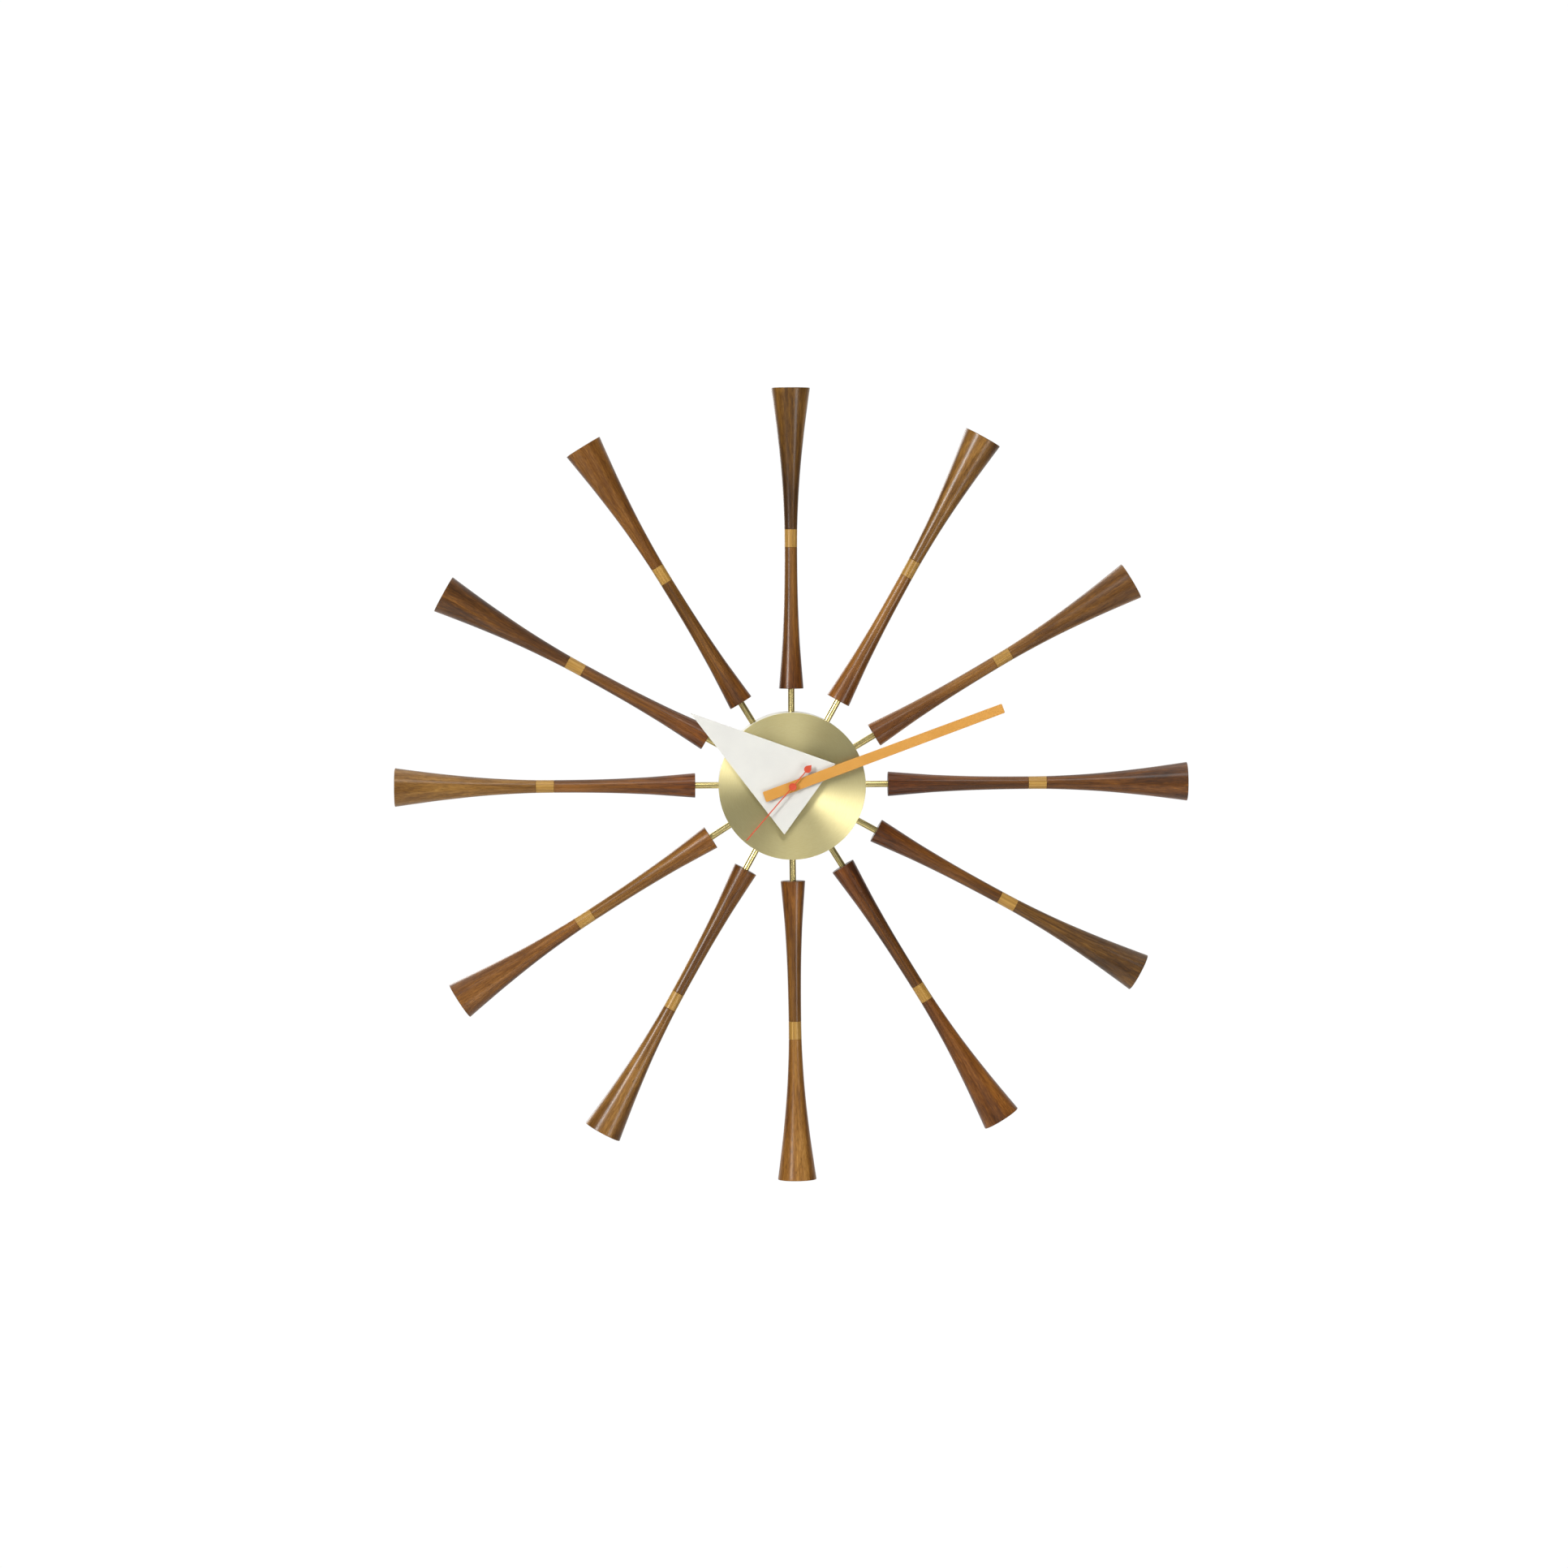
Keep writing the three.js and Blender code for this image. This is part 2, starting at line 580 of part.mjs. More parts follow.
// Two arms and a bridge round the rotor: the coil lies between the arms.
function stator() {
  const top = STATOR_Z + WHEEL_THICKNESS;
  const end = STATOR_REACH;
  const [x, y] = rotorAt;
  return cut(
    join(
      block(-end, y - STATOR_HALF_WIDTH, STATOR_Z, end, y + STATOR_HALF_WIDTH, top),
      block(-end, y, STATOR_Z, ARM.width - end, y + ARM.end, top),
      block(end - ARM.width, y, STATOR_Z, end, y + ARM.end, top),
    ),
    disc(MAGNET.radius + GAP + 0.1, STATOR_Z - 1, top + 1, 16).translate(x, y, 0),
  );
}

function coil() {
  const { flange, winding, half, rim } = COIL;
  const profile = [
    [0, -half],
    [flange, -half],
    [flange, -half + rim],
    [winding, -half + rim],
    [winding, half - rim],
    [flange, half - rim],
    [flange, half],
    [0, half],
  ];
  const along = turned(profile, 14).rotateY(Math.PI / 2);
  return along.translate(0, CASE_INSIDE - flange - 0.2, STATOR_Z + WHEEL_THICKNESS / 2);
}

const BOARD_FRONT = INTERMEDIATE_Z + 1;

const circuitBoard = () =>
  block(-CASE_INSIDE + 0.5, BOARD_Y[0], INTERMEDIATE_Z, BOARD_X, BOARD_Y[1], BOARD_FRONT);

const crystal = () =>
  radialBar(CRYSTAL.radius, ...CRYSTAL.y, 12).translate(
    CRYSTAL.x, 0, BOARD_FRONT + GAP + CRYSTAL.radius,
  );

function battery() {
  const [nub, nubHeight] = BATTERY_NUB;
  const edge = BATTERY_EDGE;
  const profile = [
    [0, 0],
    [BATTERY_RADIUS - edge, 0],
    [BATTERY_RADIUS, edge],
    [BATTERY_RADIUS, BATTERY_LENGTH - nubHeight - edge],
    [BATTERY_RADIUS - edge, BATTERY_LENGTH - nubHeight],
    [nub, BATTERY_LENGTH - nubHeight],
    [nub, BATTERY_LENGTH],
    [0, BATTERY_LENGTH],
  ];
  return turned(profile, 24).rotateY(Math.PI / 2).translate(BATTERY_X, BATTERY_Y, BATTERY_Z);
}

// A contact plate against one end wall of the battery bay; side is -1 or 1.
function contactPlate(side) {
  const [thickness, width, height] = CONTACT;
  const x = side * (CASE_INSIDE - GAP - thickness / 2);
  return new THREE.BoxGeometry(thickness, width, height).translate(x, BATTERY_Y, BATTERY_Z);
}

// The negative contact's coil spring, as the cone it fills.
function negativeContact() {
  const start = -CASE_INSIDE + GAP + CONTACT[0] / 2;
  const length = BATTERY_X - GAP - start;
  const [wide, narrow] = SPRING_RADII;
  const cone = turned([[0, 0], [wide, 0], [narrow, length], [0, length]], 14);
  return join(contactPlate(-1), cone.rotateY(Math.PI / 2).translate(start, BATTERY_Y, BATTERY_Z));
}

// ---------------------------------------------------------------- hands

// Turns a hand drawn with its tip up to where it points at rest.
const pointTo = (geometry, degrees) => geometry.rotateZ(-radians(degrees));

// A hand's plate with the collet below it and the hole for its pipe.
function handOn(plate, pipe, colletRadius, colletBottom, [z0, z1]) {
  return cut(
    join(plate, disc(colletRadius, colletBottom, (z0 + z1) / 2, 16)),
    disc(pipe + GAP, colletBottom - 1, z1 + 1, 16),
  );
}

function hourHand() {
  const plate = sheetFrom(HOUR_HAND, ...HOUR_HAND_Z);
  const collet = handOn(plate, HOUR_PIPE[1], COLLETS.hour, BUSH_TOP + COLLET_AIR, HOUR_HAND_Z);
  return pointTo(collet, HOUR_ANGLE);
}

function minuteHand() {
  const [tip, tipWidth] = MINUTE_TIP;
  const [tail, tailWidth] = MINUTE_TAIL;
  const corner = MINUTE_CORNER;
  const outline = [
    [-tailWidth / 2 + corner, -tail],
    [tailWidth / 2 - corner, -tail],
    [tailWidth / 2, -tail + corner],
    [tipWidth / 2, tip - corner],
    [tipWidth / 2 - corner, tip],
    [-tipWidth / 2 + corner, tip],
    [-tipWidth / 2, tip - corner],
    [-tailWidth / 2, -tail + corner],
  ];
  const plate = sheetFrom(outline, ...MINUTE_HAND_Z);
  const colletBottom = HOUR_PIPE_TOP + COLLET_AIR;
  const hand = handOn(plate, MINUTE_PIPE[1], COLLETS.minute, colletBottom, MINUTE_HAND_Z);
  return pointTo(hand, MINUTE_ANGLE);
}

function secondHand() {
  const [pointer, width] = SECOND_POINTER;
  const [dropAt, dropRadius, dropPoint] = DROP;
  const [z0, z1] = SECOND_HAND_Z;
  const needle = block(-width / 2, -dropAt, z0, width / 2, pointer, z1);
  const dropDisc = disc(dropRadius, z0, z1, 20).translate(0, -dropAt, 0);
  const shoulder = dropRadius * 0.7; // where the drop's straight sides leave its round
  const point = sheetFrom(
    [[-shoulder, -dropAt - shoulder], [0, -dropPoint], [shoulder, -dropAt - shoulder], [0, -dropAt]],
    z0,
    z1,
  );
  const boss = disc(SECOND_BOSS, z0, z1, 16);
  const plate = join(needle, dropDisc, point, boss);
  const colletBottom = MINUTE_PIPE_TOP + COLLET_AIR;
  const hand = handOn(plate, PIVOT_RADIUS, COLLETS.second, colletBottom, SECOND_HAND_Z);
  return pointTo(hand, SECOND_ANGLE);
}

function secondHandCap() {
  const [z0, z1] = CAP_Z;
  const rim = [
    [CAP_RADIUS, z0],
    [CAP_RADIUS, z1 - CAP_EDGE],
    [CAP_RADIUS - CAP_EDGE, z1],
  ];
  return turned([[0, z0], ...rim, [0, z1]], 20);
}

// ---------------------------------------------------------------- assembly

const clock = new THREE.Group();

function add(name, geometry, { color, roughness, metalness }, [x, y] = [0, 0]) {
  const material = new THREE.MeshStandardMaterial({ color, roughness, metalness });
  const mesh = new THREE.Mesh(geometry, material);
  mesh.name = name;
  mesh.position.set(x, y, 0);
  clock.add(mesh);
}

spindleAngles.forEach((angle, i) => {
  const rodEnd = SPINDLE_START + ROD_IN_SPINDLE;
  add(`spindle_${i + 1}`, toHour(spindleGeometry(), angle), WALNUT);
  add(`rod_${i + 1}`, toHour(radialBar(ROD_RADIUS, ROD_START, rodEnd, 10), angle), BRASS);
});

add('hub_housing', hubHousing(), WHITE_LACQUER);
add('brass_dial', brassDial(), BRASS);
add('spoke_ring', spokeRing(), ALUMINIUM);
add('back_plate', backPlate(), WHITE_LACQUER);
screwPlaces.forEach((place, i) => add(`cover_screw_${i + 1}`, coverScrew(), STEEL, place));

add('movement_case', movementCase(), BLACK_PLASTIC);
add('movement_cover', movementCover(), BLACK_PLASTIC);
add('gear_plate', gearPlate(), BLACK_PLASTIC);
const rubberBack = CASE_FRONT + GAP;
const washerBack = DIAL_FRONT + GAP;
const washer = (radius, back, thickness) => tube(BUSH_RADIUS + GAP, radius, back, back + thickness);
add('rubber_washer', washer(WASHER_RADII.rubber, rubberBack, WASHER_RUBBER), RUBBER);
add('dial_washer', washer(WASHER_RADII.dial, washerBack, DIAL_WASHER), BRASS);
add('hex_nut', hexNut(), BRASS);

add('rotor_pinion', rotorPinion(), WHEEL_PLASTIC, rotorAt);
add('rotor_magnet', rotorMagnet(), FERRITE, rotorAt);
add('intermediate_wheel', intermediateWheel(), WHEEL_PLASTIC, intermediateAt);
add('seconds_wheel', secondsWheel(), WHEEL_PLASTIC);
add('third_wheel', thirdWheel(), WHEEL_PLASTIC, thirdAt);
add('centre_wheel', centreWheel(), WHEEL_PLASTIC);
add('minute_pipe', minutePipe(), BRASS);
add('motion_wheel', motionWheel(), WHEEL_PLASTIC, motionAt);
add('hour_wheel', hourWheel(), WHEEL_PLASTIC);
add('setting_knob', settingKnob(), BLACK_PLASTIC, motionAt);
add('stator', stator(), STEEL);
add('coil', coil(), COPPER);
add('circuit_board', circuitBoard(), BOARD);
add('crystal', crystal(), STEEL);
add('battery', battery(), BATTERY_JACKET);
add('contact_positive', contactPlate(1), STEEL);
add('contact_negative', negativeContact(), STEEL);

add('hour_hand', hourHand(), HAND_WHITE);
add('minute_hand', minuteHand(), HAND_OCHRE);
add('second_hand', secondHand(), HAND_RED);
add('second_hand_cap', secondHandCap(), HAND_RED);

clock.rotation.x = Math.PI / 2;

export default clock;
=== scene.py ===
# %% [markdown]
# # A sunburst wall clock
#
# Twelve turned walnut spindles stand on thin brass rods round a drum-shaped hub. A brushed
# brass dial closes the front of the hub, and three painted hands turn before it. The CAD
# model already fixes every size and every moving part. This lesson gives it its looks:
# finer meshes where the eye goes, and a procedural material for every surface.
#
# The first cell loads the CAD model as a frame.

# %% Load the frame
import json
import math

import bmesh
import bpy
from mathutils import Matrix, Quaternion, Vector


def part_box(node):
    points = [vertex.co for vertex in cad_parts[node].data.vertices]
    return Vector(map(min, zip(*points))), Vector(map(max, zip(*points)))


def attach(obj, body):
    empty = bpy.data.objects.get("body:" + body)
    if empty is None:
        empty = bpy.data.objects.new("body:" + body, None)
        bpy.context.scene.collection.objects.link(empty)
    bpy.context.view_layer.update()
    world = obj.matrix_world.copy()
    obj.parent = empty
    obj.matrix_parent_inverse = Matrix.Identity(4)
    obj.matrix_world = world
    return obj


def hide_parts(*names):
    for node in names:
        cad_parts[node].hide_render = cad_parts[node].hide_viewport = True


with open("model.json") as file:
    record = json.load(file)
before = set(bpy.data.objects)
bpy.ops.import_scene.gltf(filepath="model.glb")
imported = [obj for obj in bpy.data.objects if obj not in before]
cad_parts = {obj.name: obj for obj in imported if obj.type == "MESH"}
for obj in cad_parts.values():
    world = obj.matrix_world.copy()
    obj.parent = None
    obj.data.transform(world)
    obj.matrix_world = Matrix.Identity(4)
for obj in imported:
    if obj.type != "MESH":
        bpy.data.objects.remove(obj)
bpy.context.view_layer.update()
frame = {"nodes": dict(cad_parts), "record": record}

scene = bpy.context.scene

# %% [markdown]
# ## One drawing frame
#
# A clock is easiest to draw face on: x to the right, y up, and z out of the wall. The model
# itself stands upright in metres, with the wall in the plane Y = 0. One turn about X takes
# the drawing frame to the model frame, so every piece below is drawn in the dial's frame, in
# millimetres, and gets this turn as its object matrix. The mesh stays in the drawing frame,
# which also gives the materials tidy local coordinates.

# %% Drawing frame
MM = 0.001
DIAL = Matrix.Rotation(math.radians(90), 4, "X")


def lifted(x=0.0, y=0.0, z=0.0):
    """The dial frame moved by millimetres."""
    return DIAL @ Matrix.Translation((x * MM, y * MM, z * MM))


def reach(node):
    """Radius about the hands' axis, back and front height of a CAD node, in millimetres."""
    low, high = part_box(node)
    return max(high.x, -low.x) / MM, -high.y / MM, -low.y / MM


def middle(node):
    """The middle of a CAD node's box in the dial frame, in millimetres."""
    low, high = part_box(node)
    centre = (low + high) / 2
    return Vector((centre.x, centre.z, -centre.y)) / MM


def points_to(node):
    """Where the far end of a CAD node points, in degrees clockwise from twelve."""
    places = [Vector((v.co.x, v.co.z)) for v in frame["nodes"][node].data.vertices]
    farthest = max(place.length for place in places)
    end = sum((p for p in places if p.length > 0.985 * farthest), Vector((0, 0)))
    return math.degrees(math.atan2(end.x, end.y))


print("dial: radius %.1f, from %.1f to %.1f mm off the wall" % reach("brass_dial"))
for hand in ("hour_hand", "minute_hand", "second_hand"):
    print("%s points to %.1f degrees" % (hand, points_to(hand)))

# %% [markdown]
# ## The camera
#
# A long lens from four metres keeps the twelve spindles almost parallel to their true
# shape. The viewer stands a little to the left of the clock and a little above it, so the
# drum's wall shows as a thin crescent over the dial. The camera is rolled by about one
# degree, as if the clock hung a touch crooked.

# %% Camera
AIM = Vector((-0.0049, 0, -0.0004))
AZIMUTH, ELEVATION, ROLL = (math.radians(a) for a in (-1.32, 2.51, -1.25))
DISTANCE = 4.0
SENSOR, LENS = 36, 125.5  # millimetres

toward_viewer = Vector(
    (
        math.sin(AZIMUTH) * math.cos(ELEVATION),
        -math.cos(AZIMUTH) * math.cos(ELEVATION),
        math.sin(ELEVATION),
    )
)
camera = bpy.data.objects.new("camera", bpy.data.cameras.new("camera"))
camera.data.sensor_width, camera.data.lens = SENSOR, LENS
camera.data.clip_end = 50
eye = toward_viewer * DISTANCE
turn = (eye - AIM).to_track_quat("Z", "Y") @ Quaternion((0, 0, 1), ROLL)
camera.matrix_world = Matrix.LocRotScale(eye, turn, None)
scene.collection.objects.link(camera)
scene.camera = camera
print("camera stands at", tuple(round(c, 3) for c in eye))

# %% [markdown]
# ## Light
#
# The dial shows two bright cones, to the upper left and to the lower right. Metal brushed in
# circles does that when light comes from either of those sides, so the main softbox stands
# to the left, a little above the clock, and its partner stands opposite, lower right. A
# softbox above gives the dial its second, weaker cone. A wide panel behind the viewer and
# another overhead fill the rest.
#
# The studio itself is white where the camera looks straight at it. For the light it sends
# back it is white behind the clock, as a white wall would be, and dark in front, because
# polished brass needs something dark to mirror. A gradient along Y makes that change.

# %% Softboxes and studio
def softbox(name, place, size, watts, target=(0, 0, 0)):
    """A rectangular soft light that faces a point, by default the clock."""
    light = bpy.data.lights.new(name, "AREA")
    light.shape = "RECTANGLE"
    light.size, light.size_y = size
    light.energy = watts
    lamp = bpy.data.objects.new(name, light)
    facing = (Vector(place) - Vector(target)).to_track_quat("Z", "Y")
    lamp.matrix_world = Matrix.LocRotScale(Vector(place), facing, None)
    scene.collection.objects.link(lamp)
    return lamp


softbox("key_softbox", (-1.9, -2.4, 0.9), (0.7, 1.2), 66)
softbox("fill_softbox", (2.0, -2.6, -1.05), (0.9, 1.5), 31)
softbox("top_softbox", (0.1, -2.2, 2.3), (1.6, 0.9), 22)
softbox("front_panel", (0.0, -5.6, 0.4), (5.0, 4.0), 24)
softbox("overhead_panel", (0.0, 0.4, 3.2), (4.0, 4.0), 60, target=(0, 0.4, 0))
softbox("back_softbox", (-1.4, 2.6, 1.0), (1.8, 1.8), 30)

WALL_WHITE, STUDIO_DARK = 0.8, 0.18
FADE_FROM, FADE_TO = 0.35, 0.9  # the wall takes over between these Y of a direction
SEEN_WHITE = 1.02  # a little over 1, so that the ground of the picture is pure white

world = bpy.data.worlds.new("studio")
world.use_nodes = True
scene.world = world
sky = world.node_tree
sky.nodes.clear()


def sky_node(kind):
    return sky.nodes.new("ShaderNode" + kind)


heading, axes, fade = sky_node("TexCoord"), sky_node("SeparateXYZ"), sky_node("MapRange")
limits = {
    "From Min": FADE_FROM, "From Max": FADE_TO, "To Min": STUDIO_DARK, "To Max": WALL_WHITE,
}
for socket, value in limits.items():
    fade.inputs[socket].default_value = value
seen, sent = sky_node("Background"), sky_node("Background")
path, either, output = sky_node("LightPath"), sky_node("MixShader"), sky_node("OutputWorld")
seen.inputs["Color"].default_value = (1, 1, 1, 1)
seen.inputs["Strength"].default_value = SEEN_WHITE
sky.links.new(heading.outputs["Generated"], axes.inputs[0])
sky.links.new(axes.outputs["Y"], fade.inputs["Value"])
sky.links.new(fade.outputs[0], sent.inputs["Color"])
sky.links.new(path.outputs["Is Camera Ray"], either.inputs["Fac"])
sky.links.new(sent.outputs[0], either.inputs[1])
sky.links.new(seen.outputs[0], either.inputs[2])
sky.links.new(either.outputs[0], output.inputs["Surface"])

scene.view_settings.view_transform = "Standard"

# %% [markdown]
# ## Mixing materials
#
# Small helpers keep the material cells short. *mixed* starts a material and hands back its
# Principled shader. *add* makes one node, and sets or links its sockets by name. The rest
# stand for patterns that every finish uses: a colour ramp, noise stretched into grain, a
# blend of two colours, a value moved to another range, and a bump.

# %% Material helpers
def linear(code):
    """A hex colour as the linear RGBA that shaders expect."""
    shares = [int(code[i : i + 2], 16) / 255 for i in (0, 2, 4)]
    return [s / 12.92 if s <= 0.04045 else ((s + 0.055) / 1.055) ** 2.4 for s in shares] + [1]


def mixed(name, values=None):
    """A new material and its shader, with plain values set on the shader's own sockets."""
    material = bpy.data.materials.new(name)
    material.use_nodes = True
    shader = material.node_tree.nodes["Principled BSDF"]
    for socket, value in (values or {}).items():
        shader.inputs[socket].default_value = value
    return material, material.node_tree, shader


def add(tree, kind, sockets=None, **settings):
    """One node. sockets maps an input's name or number to a value or to another node's output."""
    made = tree.nodes.new("ShaderNode" + kind)
    for key, value in settings.items():
        setattr(made, key, value)
    for key, value in (sockets or {}).items():
        if isinstance(value, bpy.types.NodeSocket):
            tree.links.new(value, made.inputs[key])
        else:
            made.inputs[key].default_value = value
    return made


def ramp(tree, factor, stops):
    """Colours by factor: stops are (position, hex colour)."""
    made = add(tree, "ValToRGB", {"Fac": factor})
    elements = made.color_ramp.elements
    while len(elements) < len(stops):
        elements.new(0.5)
    for element, (position, code) in zip(elements, stops):
        element.position = position
        element.color = linear(code)
    return made.outputs["Color"]


def grain(tree, coordinates, scale, detail=2.0, roughness=0.5, distortion=0.0):
    """Noise squeezed or stretched by a scale for each axis, in features per metre."""
    placed = add(tree, "Mapping", {"Vector": coordinates, "Scale": scale})
    return add(
        tree, "TexNoise",
        {
            "Vector": placed.outputs[0], "Scale": 1.0, "Detail": detail,
            "Roughness": roughness, "Distortion": distortion,
        },
    ).outputs["Fac"]


def blended(tree, factor, first, second, blend="MIX"):
    """Two colours mixed by a factor, each a socket or a hex colour."""
    made = add(tree, "Mix", {"Factor": factor}, data_type="RGBA", blend_type=blend)
    for socket, value in ((made.inputs[6], first), (made.inputs[7], second)):
        if isinstance(value, str):
            socket.default_value = linear(value)
        else:
            tree.links.new(value, socket)
    return made.outputs[2]


def spread(tree, value, low, high, to_low=0.0, to_high=1.0):
    """A value stretched from one range to another, and held inside it."""
    return add(
        tree, "MapRange",
        {"Value": value, "From Min": low, "From Max": high, "To Min": to_low, "To Max": to_high},
    ).outputs[0]


def bumped(tree, shader, height, millimetres, strength=1.0):
    """Relief on a shader, from a height that runs from 0 to 1."""
    bump = add(
        tree, "Bump", {"Height": height, "Strength": strength, "Distance": millimetres * MM}
    )
    tree.links.new(bump.outputs[0], shader.inputs["Normal"])
    return bump


def object_space(tree):
    return add(tree, "TexCoord").outputs["Object"]


finishes = {}
print("material helpers ready")

# %% [markdown]
# ## Walnut
#
# Each spindle half was cut from its own place in a board, so no two halves match. The
# meshes carry three attributes for this. *plank* says where in the board a point lies, with
# the grain along z. *tone* says how pale that part of the board is, and *warmth* how red.
# The material layers four sizes of noise in plank space: broad growth figure, streaks,
# fibres, and the short dark pores of walnut. Stretching the noise along z makes grain.
# A satin lacquer lies on top as a thin coat.

# %% Walnut
def walnut():
    material, tree, shader = mixed(
        "walnut_lacquered",
        {"Coat Weight": 0.6, "Coat Roughness": 0.25, "Specular IOR Level": 0.1},
    )
    plank = add(tree, "Attribute", attribute_name="plank").outputs["Vector"]
    tone = add(tree, "Attribute", attribute_name="tone").outputs["Fac"]
    warmth = add(tree, "Attribute", attribute_name="warmth").outputs["Fac"]
    figure = grain(tree, plank, (85, 85, 4), 4, 0.6, 0.5)
    streaks = grain(tree, plank, (900, 900, 13), 4, 0.65, 0.3)
    fibres = grain(tree, plank, (2200, 2200, 55), 2, 0.6)
    pores = grain(tree, plank, (2200, 2200, 210), 1, 0.4)
    # The figure and the streaks together pick a place on each ramp.
    place = add(tree, "Math", {0: streaks, 1: 0.6, 2: figure}, operation="MULTIPLY_ADD").outputs[0]
    place = spread(tree, place, 0.56, 1.06)
    dark = ramp(tree, place, [(0, "1e1102"), (0.4, "432806"), (0.7, "66410e"), (1, "855a1b")])
    pale = ramp(tree, place, [(0, "6b4416"), (0.4, "936929"), (0.7, "ad843f"), (1, "c49c56")])
    colour = blended(tree, tone, dark, pale)
    red = blended(tree, 1.0, colour, "ffc490", "MULTIPLY")
    colour = blended(tree, warmth, colour, red)
    colour = blended(tree, spread(tree, fibres, 0.4, 0.75, 0, 0.3), colour, "2a1605")
    pore_mask = spread(tree, pores, 0.62, 0.72)
    colour = blended(tree, spread(tree, pore_mask, 0, 1, 0, 0.38), colour, "1b0e03")
    # Faces across the grain drink the lacquer: they turn darker, and matt.
    facing = add(tree, "SeparateXYZ", {0: add(tree, "TexCoord").outputs["Normal"]}).outputs["Z"]
    end = spread(tree, add(tree, "Math", {0: facing}, operation="ABSOLUTE").outputs[0], 0.6, 0.9)
    colour = blended(tree, spread(tree, end, 0, 1, 0, 0.45), colour, "2b1706")
    tree.links.new(colour, shader.inputs["Base Color"])
    satin, matt = spread(tree, fibres, 0.3, 0.7, 0.38, 0.46), spread(tree, end, 0, 1, 0, 0.7)
    roughness = add(tree, "Math", {0: satin, 1: matt}, operation="MAXIMUM").outputs[0]
    tree.links.new(roughness, shader.inputs["Roughness"])
    relief = add(tree, "Math", {0: fibres, 1: pore_mask}, operation="SUBTRACT").outputs[0]
    bump = bumped(tree, shader, relief, 0.02)
    tree.links.new(spread(tree, end, 0, 1, 0.2, 0.03), bump.inputs["Strength"])
    return material


finishes["walnut"] = walnut()
print("made", finishes["walnut"].name)

# %% [markdown]
# ## The pale ring
#
# Half way along every spindle a short ring of light wood is let in between the two walnut
# halves. Its grain is closer and straighter, and the colour is close to maple under the
# same lacquer. It reads the same *plank* attribute, so its grain runs on lengthwise.

# %% Pale ring
def pale_ring():
    material, tree, shader = mixed(
        "maple_lacquered",
        {"Coat Weight": 0.4, "Coat Roughness": 0.3, "Specular IOR Level": 0.2},
    )
    plank = add(tree, "Attribute", attribute_name="plank").outputs["Vector"]
    streaks = grain(tree, plank, (700, 700, 18), 3, 0.6)
    fibres = grain(tree, plank, (2000, 2000, 90), 2, 0.6)
    colour = ramp(tree, streaks, [(0.3, "8c6929"), (0.5, "a97f38"), (0.7, "bf974f")])
    colour = blended(tree, spread(tree, fibres, 0.4, 0.75, 0, 0.3), colour, "8a6230")
    tree.links.new(colour, shader.inputs["Base Color"])
    tree.links.new(spread(tree, fibres, 0.3, 0.7, 0.36, 0.46), shader.inputs["Roughness"])
    bumped(tree, shader, fibres, 0.02, 0.15)
    return material


finishes["pale_ring"] = pale_ring()
print("made", finishes["pale_ring"].name)

# %% [markdown]
# ## Brass
#
# Two finishes share one metal. The dial was held against an abrasive while it turned, which
# leaves fine concentric lines. Lines like that spread a reflection sideways, so the shader
# is anisotropic, and its tangent runs round the axis. The lines themselves come from noise
# that reads only the distance from the centre. The rods are drawn tube, polished, with
# faint lines along them.

# %% Brushed dial and polished rods
def brushed_dial():
    material, tree, shader = mixed(
        "brass_brushed",
        {"Metallic": 1.0, "Roughness": 0.6, "Anisotropic": 0.94, "Anisotropic Rotation": 0.25},
    )
    here = object_space(tree)
    flat = add(tree, "VectorMath", {0: here, 1: (1, 1, 0)}, operation="MULTIPLY").outputs[0]
    radius = add(tree, "VectorMath", {0: flat}, operation="LENGTH").outputs["Value"]
    # The direction from the centre, added to the radius, ends each line after a short arc.
    aimed = add(tree, "VectorMath", {0: flat}, operation="NORMALIZE").outputs[0]
    heading = add(tree, "SeparateXYZ", {0: aimed})
    arcs = add(
        tree, "CombineXYZ",
        {"X": radius, "Y": heading.outputs["X"], "Z": heading.outputs["Y"]},
    ).outputs[0]
    lines = grain(tree, arcs, (3200, 9, 9), 3, 0.6)
    cloud = grain(tree, here, (30, 30, 30), 2)
    colour = ramp(tree, lines, [(0.3, "e9dda4"), (0.5, "ece1ab"), (0.7, "efe5b2")])
    colour = blended(tree, spread(tree, cloud, 0.4, 0.7, 0, 0.15), colour, "d8c67c")
    tree.links.new(colour, shader.inputs["Base Color"])
    tangent = add(tree, "Tangent", direction_type="RADIAL", axis="Z")
    tree.links.new(tangent.outputs[0], shader.inputs["Tangent"])
    bumped(tree, shader, lines, 0.004, 0.07)
    return material


def polished_brass(name, along, colours, roughness=(0.2, 0.3)):
    """Polished metal with faint lines along local z, or across it where along is small."""
    material, tree, shader = mixed(name, {"Metallic": 1.0})
    here = object_space(tree)
    lines = grain(tree, here, (1500, 1500, along), 2, 0.6)
    cloud = grain(tree, here, (60, 60, 20), 2)
    colour = ramp(tree, cloud, [(0.35, colours[0]), (0.65, colours[1])])
    tree.links.new(colour, shader.inputs["Base Color"])
    tree.links.new(spread(tree, lines, 0.3, 0.7, *roughness), shader.inputs["Roughness"])
    bumped(tree, shader, lines, 0.002, 0.03)
    return material


finishes["turned_brass"] = brushed_dial()
finishes["polished_brass"] = polished_brass("brass_polished", 8, ("cdbb7c", "d9ca92"))
print("made", finishes["turned_brass"].name, "and", finishes["polished_brass"].name)

# %% [markdown]
# ## Paint
#
# The hub and the hands are painted. Sprayed paint is never quite flat: it has a fine orange
# peel, and the colour drifts by a shade. One recipe makes all four paints, with the colour,
# its drift and the gloss as its only differences.

